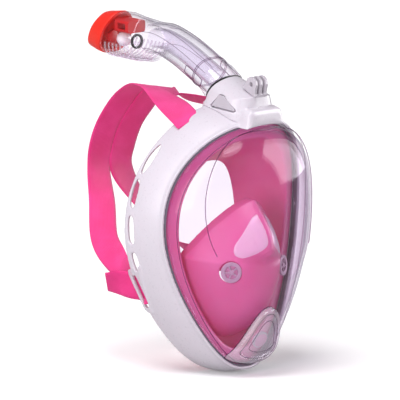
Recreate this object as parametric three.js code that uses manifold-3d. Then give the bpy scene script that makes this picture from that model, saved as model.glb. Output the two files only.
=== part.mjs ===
// A full face snorkel mask: a one-piece face frame with a clear lens, a silicone face skirt with a
// nose cup and check valves, an elastic head harness, and a pull-off snorkel with a float valve.
// Millimetres. x runs to the wearer's left, y to the back of the head, z up. The mask leans a
// little forward, as it stands on its chin.
import * as THREE from "three";
import { mergeVertices } from "three/addons/utils/BufferGeometryUtils.js";
import Module from "manifold-3d";

const wasm = await Module();
wasm.setup();

// ---- driving dimensions -------------------------------------------------------------------

const GAP = 0.35; // left between pieces that touch
const FACE = new THREE.Vector3(0, 30, 120); // middle of the face opening: the part's origin

// Each egg-shaped loop: half width, lowest and highest z, y at the middle, its change from chin to
// crown, how far the sides wrap back, how the width tapers from crown to chin, and, where it is
// squarer than the others, its own squareness.
const SEAM = { width: 80, low: 5, high: 242, mid: -30.5, lean: -9.5, wrap: 33, taper: [0.25, -0.09] };
const RIM = { width: 88, low: 0, high: 255, mid: 15, lean: -5, wrap: 35, taper: [0.12, -0.12] };
const OPENING = { width: 55, low: 24, high: 194, mid: 38, lean: 4, wrap: 18, taper: [0.1, -0.1] };
const WINDOW = { width: 66, low: 86, high: 238, mid: 0, lean: 0, wrap: 0, taper: [0.04, -0.06] };
OPENING.square = 0.55;
WINDOW.square = 0.62;
const CUP = { width: 53, low: 30, cheek: 112, high: 167, ridge: -33, back: 5, front: -50, rear: 11 };
const SQUARENESS = 0.85; // below 1 makes the loops squarer than an egg
const AROUND = 40; // steps round each loop

const FRAME_WALL = 2.8;
const FRAME_BULGE = 3;
const SEAL_WIDTH = 2;
const LENS_WALL = 2.4;
const LENS_BULGE = 38;
const LENS_CHIN_BULGE = 30;
const WINDOW_STEP = 1.8; // how far the flat front window stands proud of the lens
const SKIRT_WALL = 1.8;
const SKIRT_LEDGE = 16; // width of the skirt's front ledge, which carries the exhaled air
const CUP_WALL = 1.8;
const NOSE = { proud: 11.5, half: 30, under: 108, tip: 130 };
const CUP_CENTRE_Z = 100;

const VALVE_R = 10;
const VALVE_AT = new THREE.Vector3(32, -38.5, 101);
const FLAP_R = 7.6;
const CHIN_VALVE_Z = 33;
const CHIN_VALVE_R = 8.5;

const TUBE = { wide: 19.4, high: 15.6, wall: 1.8 }; // half width, half height
const CHAMBER = { wide: 20.5, high: 21.5, wall: 1.8, ridge: 0.35 }; // ridge: narrowing to its top
const DUCT = { wide: 10.5, high: 9.5, wall: 1.2 };
const SPIGOT = { wide: 14.3, high: 9, wall: 1.8, length: 5 };
const SOCKET_AT = new THREE.Vector3(0, 9, 268.5);
const SOCKET_TILT = THREE.MathUtils.degToRad(40); // the socket's axis above the horizontal
const COLLAR = { grow: 0.6, wall: 2.6, plateFrom: 2.8, plateTo: 4.4, mouthHigh: 17.2, inset: 1 };
const ORING = { wide: 19, high: 16.4, land: 4, thick: 2.2 };
const TONGUE = { long: 26, high: 8, thick: 1.6, tilt: 0.47, y: 29.5, z: 280.7, out: 1.9 };
const NECK_START = 111; // y where the tube ends in the float chamber's neck
const CHAMBER_START = 121; // y of the slanted joint at the chamber's axis
const CHAMBER_SLANT = 8; // how far the joint leans back at its top
const CHAMBER_END = 168; // y of the slanted joint with the cap, at the chamber's axis
const CAP_SLANT = -8; // how far that joint leans forward at its top
const TIP = 190;
const CAP_SQUARENESS = 0.72; // the chamber grows squarer towards its cap
const TOP_Z = 301.5; // axis height of the float chamber
const BALL_R = 7.2;
const BALL_Y = 158;
const VALVE_BOX = { wide: 22, high: 12, long: 20, y: 149.5, z: 310.5 };
const VENTS = { count: 5, first: 12, pitch: 7, wide: 22, gap: 2.6 };
const RING_SEAL = { radius: 7.2, bore: 5.2, thick: 1.8, y: 139 };
const FLOAT_PORT = { radius: 6.5, root: 5.5, length: 5, y: 174.5 };
const GUIDE = { thick: 1.6, length: 28, high: 4, y: 156, drop: 5 };
const BALL_DROP = 5; // how far below the chamber's axis the ball runs

const BUTTON_FACE = 22.8; // x of the release buttons' outer faces
const BUTTON_THICK = 2.6;
const POCKET_FLOOR = 18.2;

const FIN = { thick: 3, gap: 3.2, radius: 7.5, bore: 2.6 };
const MOUNT_AT = new THREE.Vector3(0, -38.4, 279.5); // axis of the camera mount's bolt hole

const STRAP = { width: 26, thick: 2 };

// ---- helpers ------------------------------------------------------------------------------

const vec = (x, y, z) => new THREE.Vector3(x, y, z);
const part = new THREE.Group();
part.position.copy(FACE).negate();

function material(color, roughness, extra = {}) {
  return new THREE.MeshStandardMaterial({ color, roughness, metalness: 0, ...extra });
}
const white = () => material(0xf3eff5, 0.35);
const clear = () => material(0xf4f2f8, 0.05, { transparent: true, opacity: 0.3 });
const pink = () => material(0xe8589b, 0.5);
const black = () => material(0x151317, 0.5);
const grey = () => material(0xb9b4bd, 0.5);
const red = () => material(0xe0101c, 0.4);
const orange = () => material(0xff3b1a, 0.35);
const webbing = () => material(0xe83e8c, 0.85);

/** Adds a named mesh to the part, or to a group inside it. */
function add(name, geometry, finish, parent = part) {
  const mesh = new THREE.Mesh(geometry, finish);
  mesh.name = name;
  parent.add(mesh);
  return mesh;
}

/** A geometry as a closed solid that can be cut and joined. */
function solid(geometry) {
  const g = geometry.clone();
  for (const key of Object.keys(g.attributes)) if (key !== "position") g.deleteAttribute(key);
  const merged = mergeVertices(g, 1e-3);
  const triVerts = new Uint32Array(merged.index.array);
  const vertProperties = merged.attributes.position.array;
  return new wasm.Manifold(new wasm.Mesh({ numProp: 3, vertProperties, triVerts }));
}

function geometry(body) {
  const m = body.getMesh();
  const g = new THREE.BufferGeometry();
  g.setAttribute("position", new THREE.BufferAttribute(m.vertProperties, 3));
  g.setIndex(new THREE.BufferAttribute(m.triVerts, 1));
  return g;
}

/** Turns a surface round if its faces point inwards. */
function outwards(g) {
  const p = g.attributes.position;
  const at = (i) => new THREE.Vector3().fromBufferAttribute(p, i);
  const index = g.index.array;
  let volume = 0;
  for (let i = 0; i < index.length; i += 3) {
    volume += at(index[i]).dot(at(index[i + 1]).cross(at(index[i + 2])));
  }
  if (volume < 0) {
    for (let i = 0; i < index.length; i += 3) {
      [index[i + 1], index[i + 2]] = [index[i + 2], index[i + 1]];
    }
  }
  return g;
}

/** A closed surface through rings of points. A closed loft is a loop of sections; an open one has
 * a flat fan of triangles on its first and last rings. */
function loft(rings, closed = false) {
  const count = rings[0].length;
  const index = [];
  const spans = closed ? rings.length : rings.length - 1;
  for (let i = 0; i < spans; i++) {
    const a = i * count;
    const b = ((i + 1) % rings.length) * count;
    for (let j = 0; j < count; j++) {
      const k = (j + 1) % count;
      index.push(a + j, b + j, b + k, a + j, b + k, a + k);
    }
  }
  const end = (rings.length - 1) * count;
  for (let j = 1; !closed && j < count - 1; j++) {
    index.push(0, j, j + 1, end, end + j + 1, end + j);
  }
  const g = new THREE.BufferGeometry();
  const flat = rings.flat().flatMap((p) => p.toArray());
  g.setAttribute("position", new THREE.Float32BufferAttribute(flat, 3));
  g.setIndex(index);
  return outwards(g);
}

/** A shape in the plane across an axis, extruded by depth about its middle. */
function slab(shape, depth, bevel = 0) {
  const options = { depth: depth - 2 * bevel, bevelEnabled: bevel > 0, curveSegments: 3 };
  Object.assign(options, { bevelSize: bevel, bevelThickness: bevel, bevelOffset: -bevel, bevelSegments: 1 });
  return new THREE.ExtrudeGeometry(shape, options).translate(0, 0, bevel - depth / 2);
}

/** A slab whose shape is drawn in y and z and which is as deep as given along x. */
function sideSlab(shape, depth, bevel = 0) {
  return slab(shape, depth, bevel).rotateX(Math.PI / 2).rotateZ(Math.PI / 2);
}

function roundedRect(w, h, r) {
  const s = new THREE.Shape();
  s.moveTo(-w / 2 + r, -h / 2);
  s.lineTo(w / 2 - r, -h / 2);
  s.absarc(w / 2 - r, -h / 2 + r, r, -Math.PI / 2, 0);
  s.lineTo(w / 2, h / 2 - r);
  s.absarc(w / 2 - r, h / 2 - r, r, 0, Math.PI / 2);
  s.lineTo(-w / 2 + r, h / 2);
  s.absarc(-w / 2 + r, h / 2 - r, r, Math.PI / 2, Math.PI);
  s.lineTo(-w / 2, -h / 2 + r);
  s.absarc(-w / 2 + r, -h / 2 + r, r, Math.PI, 1.5 * Math.PI);
  s.closePath();
  return s;
}

/** An oval outline, flatter than an ellipse, as a list of points. */
function ovalPoints(wide, high, squareness = SQUARENESS, count = 20) {
  return Array.from({ length: count }, (_, i) => {
    const a = (2 * Math.PI * i) / count;
    const bend = (v) => Math.sign(v) * Math.abs(v) ** squareness;
    return new THREE.Vector2(wide * bend(Math.cos(a)), high * bend(Math.sin(a)));
  });
}

/** An oval ring shape, or a full oval where there is no wall. */
function oval(size, wall = 0, grow = 0) {
  const shape = new THREE.Shape(ovalPoints(size.wide + grow, size.high + grow));
  if (wall) shape.holes.push(new THREE.Path(ovalPoints(size.wide - wall, size.high - wall)));
  return shape;
}

/** A shape swept along a curve in the plane of symmetry. */
function sweep(shape, curve, steps) {
  return new THREE.ExtrudeGeometry(shape, { extrudePath: curve, steps });
}

/** A shape swept along a straight line between two points of the plane of symmetry. */
function straight(shape, from, to) {
  return sweep(shape, new THREE.LineCurve3(from, to), 1);
}

// ---- face shapes --------------------------------------------------------------------------

/** The point of a loop at angle t from the crown, moved in by inset. */
function loopPoint(loop, t, inset = 0) {
  const s = Math.sin(t);
  const c = Math.cos(t);
  const middle = (loop.low + loop.high) / 2;
  const taper = 1 + loop.taper[0] * c + loop.taper[1] * c * c;
  const square = loop.square ?? SQUARENESS;
  const x = (loop.width - inset) * Math.sign(s) * Math.abs(s) ** square * taper;
  const z = middle + ((loop.high - loop.low) / 2 - inset) * c;
  return vec(x, loop.mid + loop.lean * c + loop.wrap * (x / loop.width) ** 2, z);
}

const angles = Array.from({ length: AROUND }, (_, i) => (2 * Math.PI * (i + 0.5)) / AROUND);

/** The direction away from a loop's middle at angle t, in the x-z plane. */
function outward(loop, t) {
  const p = loopPoint(loop, t);
  return vec(p.x, 0, p.z - (loop.low + loop.high) / 2).normalize();
}

/** Half the width of the seam at height z. */
function seamHalfWidth(z) {
  const half = (SEAM.high - SEAM.low) / 2;
  const c = THREE.MathUtils.clamp((z - SEAM.low - half) / half, -0.9999, 0.9999);
  return Math.abs(loopPoint(SEAM, Math.acos(c)).x);
}

/** The y of the lens's outer face: the seam's own wrap, bulged forward. */
function lensY(x, z) {
  const half = (SEAM.high - SEAM.low) / 2;
  const v = (z - SEAM.low - half) / half;
  const u = Math.min(1, Math.abs(x) / seamHalfWidth(z));
  const side = v > 0 ? 4 : 4 + 1.8 * v; // flat across the eyes, rounder at the chin
  const rise = v > 0 ? 4 : 2;
  const bulge = LENS_BULGE + (LENS_CHIN_BULGE - LENS_BULGE) * Math.max(0, -v);
  const base = SEAM.mid + SEAM.lean * v + SEAM.wrap * (x / SEAM.width) ** 2;
  const across = Math.sqrt(Math.max(0, 1 - u ** side));
  const along = Math.sqrt(Math.max(0, 1 - Math.abs(v) ** rise));
  return base - bulge * across * along;
}

/** The rings of the lens's outer face, from the window's middle to its edge in the frame. */
function lensRings(inset, back, step) {
  const inner = [0.2, 0.6, 0.9, 1].map((k) => [k, 0]);
  const outer = [0.04, 0.3, 0.65, 0.9, 1].map((k) => [1, k]);
  const centre = (WINDOW.low + WINDOW.high) / 2;
  return [...inner, ...outer].map(([k, q]) =>
    angles.map((t) => {
      const edge = loopPoint(WINDOW, t, inset);
      const seam = loopPoint(SEAM, t, inset);
      const x = q ? THREE.MathUtils.lerp(edge.x, seam.x, q) : edge.x * k;
      const z = q ? THREE.MathUtils.lerp(edge.z, seam.z, q) : centre + (edge.z - centre) * k;
      const shrink = 1 + inset / SEAM.width;
      const y = lensY(x * shrink, SEAM.low + (z - SEAM.low - inset) * shrink);
      return vec(x, y + back - (q ? 0 : step), z);
    }),
  );
}

/** The lens as a solid shell, or filled to a flat back where filled is set. */
function lensSolid(inset, wall, filled = 0) {
  const outer = lensRings(inset, 0, WINDOW_STEP);
  const edge = outer[outer.length - 1];
  if (filled) {
    const back = edge.map((p) => p.clone().setY(filled));
    const middle = back.map((p) => vec(p.x * 0.3, filled, 120 + (p.z - 120) * 0.3));
    return loft([...outer, back, middle]);
  }
  return loft([...outer, ...lensRings(inset + wall, wall, WINDOW_STEP).reverse()]);
}

// ---- the frame ----------------------------------------------------------------------------

/** The frame's ring from the lens seam to its rear rim. */
function frameRing(grow, wall) {
  const stops = [0, 0.1, 0.4, 0.75, 1];
  const skin = (t, offset, back) =>
    stops.map((f) => {
      const p = loopPoint(SEAM, t).lerp(loopPoint(RIM, t), f);
      const lip = f === 0 ? 1 : 0;
      const bulge = FRAME_BULGE * (4 * f * (1 - f)) + lip;
      return p.addScaledVector(outward(SEAM, t), bulge + offset).add(vec(0, back - 2 * lip, 0));
    });
  const ring = (t) => [...skin(t, grow + 2, 0), ...skin(t, grow + 2 - wall, 0).reverse()];
  return solid(loft(angles.map(ring), true));
}

const BOSS = { half: 20.5, low: 238, top: 257, deep: 14, y: -45 };

/** The boss on the forehead, over the seam. */
function foreheadBoss(grow) {
  const half = BOSS.half + grow;
  const shape = new THREE.Shape([
    new THREE.Vector2(-half - 3, BOSS.low),
    new THREE.Vector2(half + 3, BOSS.low),
    new THREE.Vector2(half, BOSS.low + 12),
    new THREE.Vector2(half - 5, BOSS.top + grow),
    new THREE.Vector2(-half + 5, BOSS.top + grow),
    new THREE.Vector2(-half, BOSS.low + 12),
  ]);
  const block = slab(shape, BOSS.deep + 2 * grow, 2).rotateX(Math.PI / 2);
  return solid(block.translate(0, BOSS.y, 0));
}

/** Everything forward of the rear clamp that the lens, seal and skirt need inside the frame. */
function frameMouth() {
  const front = angles.map((t) => loopPoint(SEAM, t).setY(-80));
  const back = angles.map((t) => loopPoint(SEAM, t).add(vec(0, 12, 0)));
  return solid(loft([front, back]));
}

// Side openings: centre y and z, width along y, height, and lean in degrees. The last one is the
// slot that the lower strap loops through.
const SIDE_OPENINGS = [
  { y: 29, z: 206, w: 9, h: 30, lean: 24 },
  { y: 38.5, z: 173, w: 8.5, h: 27, lean: 9 },
  { y: 41, z: 138, w: 8.5, h: 27, lean: -2 },
  { y: 38, z: 107, w: 8, h: 18, lean: -12 },
  { y: 41.5, z: 77, w: 10, h: 32, lean: -16 },
];

/** The ear behind each cheek that the lower strap loops round. */
function strapEar(side) {
  const outline = new THREE.Shape();
  outline.moveTo(30, 106);
  outline.lineTo(49, 99.5);
  outline.bezierCurveTo(56, 99.5, 54.6, 92, 52.6, 84);
  outline.lineTo(46.8, 62);
  outline.bezierCurveTo(45, 56, 41, 54, 33, 55);
  outline.closePath();
  const ear = sideSlab(outline, 3.4, 0.8).translate(0, -30, -80);
  ear.rotateY(0.36).rotateZ(0.17).translate(79, 30, 80);
  return solid(side > 0 ? ear : mirrorX(ear));
}

/** A geometry mirrored in the plane of symmetry. */
function mirrorX(g) {
  const flat = (g.index ? g.toNonIndexed() : g.clone()).scale(-1, 1, 1);
  const p = flat.attributes.position.array;
  for (let i = 0; i < p.length; i += 9) {
    for (let k = 0; k < 3; k++) [p[i + 3 + k], p[i + 6 + k]] = [p[i + 6 + k], p[i + 3 + k]];
  }
  return flat;
}

function sideOpening({ y, z, w, h, lean }, side) {
  const g = sideSlab(roundedRect(w, h, Math.min(w, h) / 2 - 0.5), 60);
  g.rotateX(THREE.MathUtils.degToRad(lean)).translate(side * 84, y, z);
  return solid(g);
}

function buildFrame() {
  let frame = frameRing(0, FRAME_WALL).add(foreheadBoss(0)).subtract(frameMouth());
  for (const side of [-1, 1]) {
    frame = frame.add(strapEar(side));
    for (const opening of SIDE_OPENINGS) frame = frame.subtract(sideOpening(opening, side));
  }
  const airway = straight(oval({ wide: 11, high: 7 }), vec(0, -2, 240), vec(0, -2, 262));
  frame = frame.subtract(solid(airway));
  add("main_frame", geometry(frame), white());
}

/** A rectangle swept round the seam: inset from and to, and y from and to. */
function seamRing(insetA, insetB, backA, backB) {
  const section = (t) => {
    const at = (inset, back) => loopPoint(SEAM, t, inset).add(vec(0, back, 0));
    return [at(insetA, backA), at(insetA, backB), at(insetB, backB), at(insetB, backA)];
  };
  return loft(angles.map(section), true);
}

function buildLens() {
  add("lens_seal", seamRing(GAP, GAP + SEAL_WIDTH, -1.2, 5), black());
  let lens = solid(lensSolid(SEAL_WIDTH + 2 * GAP, LENS_WALL));
  const hole = disc(CHIN_VALVE_R + 1, 30);
  lens = lens.subtract(solid(alongAxis(hole, chinValve.at, chinValve.axis)));
  add("lens", geometry(lens), clear());
}

/** Turns a geometry made along +Y to run along axis, and moves it to a point. */
function alongAxis(g, at, axis) {
  const turn = new THREE.Quaternion().setFromUnitVectors(vec(0, 1, 0), axis);
  return g.applyQuaternion(turn).translate(at.x, at.y, at.z);
}

// ---- skirt, nose cup and valves -----------------------------------------------------------

function buildSkirt() {
  const ring = (t) => {
    const ledge = (inset, back) => loopPoint(SEAM, t, inset).add(vec(0, back, 0));
    const edge = loopPoint(OPENING, t);
    const out = outward(OPENING, t).multiplyScalar(SKIRT_WALL);
    const front = [ledge(1, 6), ledge(10, 6.5), ledge(SKIRT_LEDGE, 8)];
    const back = [ledge(SKIRT_LEDGE - 2, 10), ledge(10, 8.5), ledge(1, 8)];
    const inner = front[2].clone().lerp(edge, 0.5);
    const outer = back[0].clone().lerp(edge.clone().add(out), 0.5);
    return [...front, inner, edge, edge.clone().add(out), outer, ...back];
  };
  add("face_skirt", loft(angles.map(ring), true), pink());
  add("skirt_retainer", seamRing(1, 8, 9.4, 11.4), white());
}

/** The cup's outline at angle t from the nose: a roof over the nose and a round chin. */
function cupEdge(t) {
  const s = Math.sin(t);
  const c = Math.cos(t);
  if (c < 0) {
    const x = CUP.width * Math.sign(s) * Math.abs(s) ** SQUARENESS * (1 + 0.2 * c);
    return vec(x, CUP.back, CUP.cheek + (CUP.cheek - CUP.low) * c);
  }
  const turn = Math.atan2(s, c) / (Math.PI / 2);
  const rise = 1 - Math.abs(turn) ** 1.5;
  const y = CUP.ridge + (CUP.back - CUP.ridge) * Math.abs(turn) ** 1.2;
  return vec(CUP.width * turn, y, CUP.cheek + (CUP.high - CUP.cheek) * rise);
}

/** How far the nose pocket stands forward: flat flanks to a ridge, cut off below the tip. */
function nose(x, z) {
  const flank = Math.max(0, 1 - (Math.sqrt(x * x + 6) - 2.4) / NOSE.half);
  const below = THREE.MathUtils.smoothstep(z, NOSE.under, NOSE.under + 13);
  return NOSE.proud * flank * below * Math.exp(-((Math.max(0, z - NOSE.tip) / 26) ** 2));
}

/** The cup's outer face at a share k of the way from its middle to its outline. */
function cupPoint(t, k) {
  const edge = cupEdge(t);
  const x = edge.x * k;
  const z = CUP_CENTRE_Z + (edge.z - CUP_CENTRE_Z) * k;
  return vec(x, CUP.front + (edge.y - CUP.front) * k ** 3 - nose(x, z), z);
}

/** Rings of the cup's face and of the wall that runs back from its outline. */
function cupRings(wall) {
  const shrink = (p) => {
    const drop = (CUP_CENTRE_Z - p.z) * (wall / 60);
    return vec(p.x * (1 - wall / CUP.width), p.y + wall, p.z + drop);
  };
  const face = [0.15, 0.33, 0.48, 0.62, 0.82, 0.94, 1].map((k) => angles.map((t) => shrink(cupPoint(t, k))));
  const back = angles.map((t) => shrink(cupEdge(t)).add(vec(0, CUP.rear, 0)));
  return [...face, back];
}

/** Where a valve sits and which way it faces, from a surface y(x, z). */
function valvePlace(surface, x, z) {
  const d = 3;
  const dx = (surface(x + d, z) - surface(x - d, z)) / (2 * d);
  const dz = (surface(x, z + d) - surface(x, z - d)) / (2 * d);
  return { at: vec(x, surface(x, z), z), axis: vec(dx, -1, dz).normalize() };
}

const chinValve = valvePlace(lensY, 0, CHIN_VALVE_Z);
const VALVE_TILT = new THREE.Vector3(0.5, -0.86, 0.05).normalize();
const cupValves = [-1, 1].map((side) => ({
  at: vec(side * VALVE_AT.x, VALVE_AT.y, VALVE_AT.z),
  axis: vec(side * VALVE_TILT.x, VALVE_TILT.y, VALVE_TILT.z),
}));

function disc(radius, thick) {
  return new THREE.CylinderGeometry(radius, radius, thick, 18);
}

/** A ring with a hub and spokes, across the y axis. */
function spokedSeat(radius, bore, thick, spokes) {
  let seat = solid(disc(radius, thick)).subtract(solid(disc(bore, thick + 2)));
  seat = seat.add(solid(disc(2.2, thick)));
  for (let i = 0; i < spokes; i++) {
    const bar = new THREE.BoxGeometry(bore, thick - 0.4, 1.2).translate(bore / 2 + 0.3, 0, 0);
    seat = seat.add(solid(bar.rotateY((2 * Math.PI * i) / spokes)));
  }
  return geometry(seat);
}

/** A group that stands at a valve, with its y axis along the valve's axis. */
function valveGroup(place) {
  const group = new THREE.Group();
  group.position.copy(place.at);
  group.quaternion.setFromUnitVectors(vec(0, 1, 0), place.axis);
  part.add(group);
  return group;
}

function buildCup() {
  let cup = solid(loft([...cupRings(0), ...cupRings(CUP_WALL).reverse()]));
  cupValves.forEach((place, i) => {
    const side = i ? "left" : "right";
    cup = cup.subtract(solid(alongAxis(disc(VALVE_R + GAP, 26), place.at, place.axis)));
    const group = valveGroup(place);
    add(`inhale_valve_seat_${side}`, spokedSeat(VALVE_R, FLAP_R - 1.4, 2.4, 5), grey(), group);
    add(`inhale_flap_${side}`, disc(FLAP_R, 0.8).translate(0, -2, 0), clear(), group);
  });
  add("nose_cup", geometry(cup), pink());
}

/** The outline of the chin cover: a teardrop, wide at the bottom. */
function teardrop(length, width) {
  const w = width / 2;
  const s = new THREE.Shape();
  const h = length / 2;
  s.moveTo(-w, -0.58 * h);
  s.bezierCurveTo(-w * 0.78, -0.04 * h, -w * 0.55, h, 0, h);
  s.bezierCurveTo(w * 0.55, h, w * 0.78, -0.04 * h, w, -0.58 * h);
  s.bezierCurveTo(w * 1.12, -0.84 * h, w * 0.5, -h, 0, -h);
  s.bezierCurveTo(-w * 0.5, -h, -w * 1.12, -0.84 * h, -w, -0.58 * h);
  return s;
}

const CHIN_COVER = { length: 58, width: 52, proud: 5, centre: 37, deep: 26 };
const COVER_SLOT = { wide: 24, high: 2.2, down: 19 };
const COVER_SIDE_SLOT = { wide: 2, high: 16, out: 13 };

/** Puts a slab drawn in x and z on the chin's slope. */
function onChin(g, out) {
  const place = valvePlace(lensY, 0, CHIN_COVER.centre);
  const slope = Math.atan2(place.axis.z, -place.axis.y);
  const at = place.at.clone().addScaledVector(place.axis, out);
  return g.rotateX(Math.PI / 2 - slope).translate(at.x, at.y, at.z);
}

function buildChinValve() {
  const group = valveGroup(chinValve);
  add("chin_valve_seat", spokedSeat(CHIN_VALVE_R, 6, 2.2, 4).translate(0, -1.4, 0), white(), group);
  add("chin_valve_flap", disc(7, 0.8).translate(0, 0.5, 0), clear(), group);
  const outline = slab(teardrop(CHIN_COVER.length, CHIN_COVER.width), CHIN_COVER.deep, 2);
  const shell = solid(onChin(outline, CHIN_COVER.proud - CHIN_COVER.deep / 2));
  const body = solid(lensSolid(SEAL_WIDTH + 2 * GAP, LENS_WALL, 30).translate(0, -GAP, 0));
  const hollow = solid(alongAxis(disc(CHIN_VALVE_R + 1.4, 12), chinValve.at, chinValve.axis));
  let cover = shell.subtract(body).subtract(hollow);
  cover = cover.subtract(frameRing(GAP, 12));
  const slot = slab(roundedRect(COVER_SLOT.wide, COVER_SLOT.high, 1), 12).translate(0, -COVER_SLOT.down, 0);
  cover = cover.subtract(solid(onChin(slot, 4)));
  for (const side of [-1, 1]) {
    const upright = slab(roundedRect(COVER_SIDE_SLOT.wide, COVER_SIDE_SLOT.high, 0.9), 12);
    cover = cover.subtract(solid(onChin(upright.translate(side * COVER_SIDE_SLOT.out, 0, 0), 4)));
  }
  const pieces = cover.decompose().sort((a, b) => b.volume() - a.volume());
  add("chin_valve_cover", geometry(pieces[0]), clear());
}

// ---- snorkel adapter ----------------------------------------------------------------------

const socketAxis = vec(0, Math.cos(SOCKET_TILT), Math.sin(SOCKET_TILT));
const alongSocket = (d) => SOCKET_AT.clone().addScaledVector(socketAxis, d);

// The adapter's outline from the frame up to the socket's mouth: middle y and z, tilt in degrees,
// half width, half length and squareness of each ring.
const BLOCK_RINGS = [
  [-11.5, 243, 0, 25, 32.5, 0.45],
  [-11.5, 252, 0, 25.5, 33, 0.45],
  [-10, 262, 10, 23.5, 33, 0.5],
  [SOCKET_AT.y, SOCKET_AT.z, 50, 20, 17.4, 0.85],
];
const BLOCK_TAPER = 0.25; // how much narrower the adapter is at its front
const BUTTON_CORNERS = [
  [1.6, 255.6],
  [-32, 254.4],
  [-31.4, 256.6],
  [-16, 266.9],
  [-8.4, 267],
];

/** A ring about a point of the plane of symmetry, tilted up towards the front. */
function tiltedRing([y, z, tilt, wide, long, power]) {
  const a = THREE.MathUtils.degToRad(tilt);
  const bend = (v) => Math.sign(v) * Math.abs(v) ** power;
  return Array.from({ length: 24 }, (_, i) => {
    const turn = (2 * Math.PI * i) / 24;
    const along = long * bend(Math.sin(turn));
    const narrow = 1 - BLOCK_TAPER * Math.max(0, along / long) ** 3;
    return vec(wide * narrow * bend(Math.cos(turn)), y - along * Math.cos(a), z + along * Math.sin(a));
  });
}

function profile(points) {
  return new THREE.Shape(points.map(([y, z]) => new THREE.Vector2(y, z)));
}

/** The button's outline, shrunk or grown about its middle. */
function buttonShape(scale) {
  const middle = [-15.5, 261.5];
  return profile(BUTTON_CORNERS.map((p) => p.map((v, i) => middle[i] + (v - middle[i]) * scale)));
}

function buildAdapter() {
  let block = solid(loft(BLOCK_RINGS.map(tiltedRing)));
  const socket = straight(oval(SPIGOT, 0, GAP), alongSocket(-SPIGOT.length - 1), alongSocket(5));
  block = block.subtract(solid(socket));
  const rim = frameRing(GAP, 60);
  block = block.subtract(rim).subtract(rim.translate(0, 2 * GAP, 0)).subtract(foreheadBoss(GAP));
  block = block.subtract(solid(mountPlate(GAP)));
  const airway = straight(oval({ wide: 10, high: 6 }), vec(0, -2, 238), vec(0, -2, 270));
  block = block.subtract(solid(airway));
  for (const side of [-1, 1]) {
    const depth = 30 - POCKET_FLOOR;
    const pocket = sideSlab(buttonShape(1.08), depth).translate(side * (POCKET_FLOOR + depth / 2), 0, 0);
    block = block.subtract(solid(pocket));
    const name = `release_button_${side < 0 ? "right" : "left"}`;
    const button = sideSlab(buttonShape(1), BUTTON_THICK, 0.6);
    add(name, button.translate(side * (BUTTON_FACE - BUTTON_THICK / 2), 0, 0), white());
  }
  const body = block.decompose().sort((a, b) => b.volume() - a.volume())[0];
  add("adapter_block", geometry(body), white());
}

const MOUNT_LEAN = 0.4; // radians that the camera mount leans back
const FIN_FOOT = { half: 9, low: -8, shoulder: -1.5 };
const MOUNT_PLATE = { wide: 3 * FIN.thick + 2 * FIN.gap, long: 20, thick: 2.6, low: -7.7 };

/** The camera mount's base plate, grown by a clearance. */
function mountPlate(grow) {
  const { wide, long, thick, low } = MOUNT_PLATE;
  const plate = new THREE.BoxGeometry(wide + 2 * grow, long + 2 * grow, thick + 2 * grow);
  return plate.translate(0, 0, low).rotateX(MOUNT_LEAN).translate(0, MOUNT_AT.y, MOUNT_AT.z);
}

function buildCameraMount() {
  const fin = new THREE.Shape();
  fin.moveTo(-FIN_FOOT.half, FIN_FOOT.low);
  fin.lineTo(FIN_FOOT.half, FIN_FOOT.low);
  fin.lineTo(FIN.radius * 0.98, FIN_FOOT.shoulder);
  fin.absarc(0, 0, FIN.radius, -0.2, Math.PI + 0.2);
  fin.closePath();
  const hole = new THREE.Path();
  hole.absarc(0, 0, FIN.bore, 0, 2 * Math.PI, true);
  fin.holes.push(hole);
  const pitch = FIN.thick + FIN.gap;
  let mount = solid(mountPlate(0));
  for (const i of [-1, 0, 1]) {
    const blade = sideSlab(fin, FIN.thick).translate(i * pitch, 0, 0).rotateX(MOUNT_LEAN);
    mount = mount.add(solid(blade.translate(0, MOUNT_AT.y, MOUNT_AT.z)));
  }
  add("camera_mount", geometry(mount), white());
}

// ---- snorkel ------------------------------------------------------------------------------

/** A ring of an oval section: centre y and z, half width, half height, and the section's tilt. */
function ovalRing(y, z, wide, high, tilt = 0) {
  return ovalPoints(wide, high).map((p) => vec(p.x, y - p.y * Math.sin(tilt), z + p.y * Math.cos(tilt)));
}

const TUBE_START = vec(0, 21, 276.8);
const tubeCurve = new THREE.CatmullRomCurve3(
  [TUBE_START, vec(0, 38, 284.6), vec(0, 67, 296.6), vec(0, 95, 304), vec(0, NECK_START - GAP, 303.8)],
  false,
  "centripetal",
);

/** A ring of the snorkel's section at an end of the tube's curve, moved along it by shift. */
function tubeEnd(u, shift, wide, high) {
  const tangent = tubeCurve.getTangent(u);
  const at = tubeCurve.getPoint(u).addScaledVector(tangent, shift);
  return ovalRing(at.y, at.z, wide, high, Math.atan2(tangent.z, tangent.y));
}

/** The collar: a bent sleeve from the slanted mouth of the socket to the tube. */
function collarSleeve(grow) {
  const mouth = alongSocket(COLLAR.plateFrom - 0.2);
  const wide = TUBE.wide + COLLAR.grow + grow;
  return [
    ovalRing(mouth.y, mouth.z, wide, COLLAR.mouthHigh + grow, SOCKET_TILT),
    tubeEnd(0, -GAP, wide, TUBE.high + COLLAR.grow + grow),
  ];
}

function buildCollar() {
  const sleeve = loft([...collarSleeve(0), ...collarSleeve(-COLLAR.wall).reverse()], true);
  const stub = solid(straight(oval(SPIGOT, SPIGOT.wall), alongSocket(-SPIGOT.length), alongSocket(5)));
  const wide = TUBE.wide - COLLAR.inset;
  const flange = oval({ wide, high: wide - COLLAR.wall });
  const plate = solid(straight(flange, alongSocket(COLLAR.plateFrom), alongSocket(COLLAR.plateTo)));
  const bore = solid(straight(oval(SPIGOT, 0, -SPIGOT.wall), alongSocket(0), alongSocket(6)));
  add("tube_collar", geometry(solid(sleeve).add(plate).add(stub).subtract(bore)), clear());
}

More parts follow.
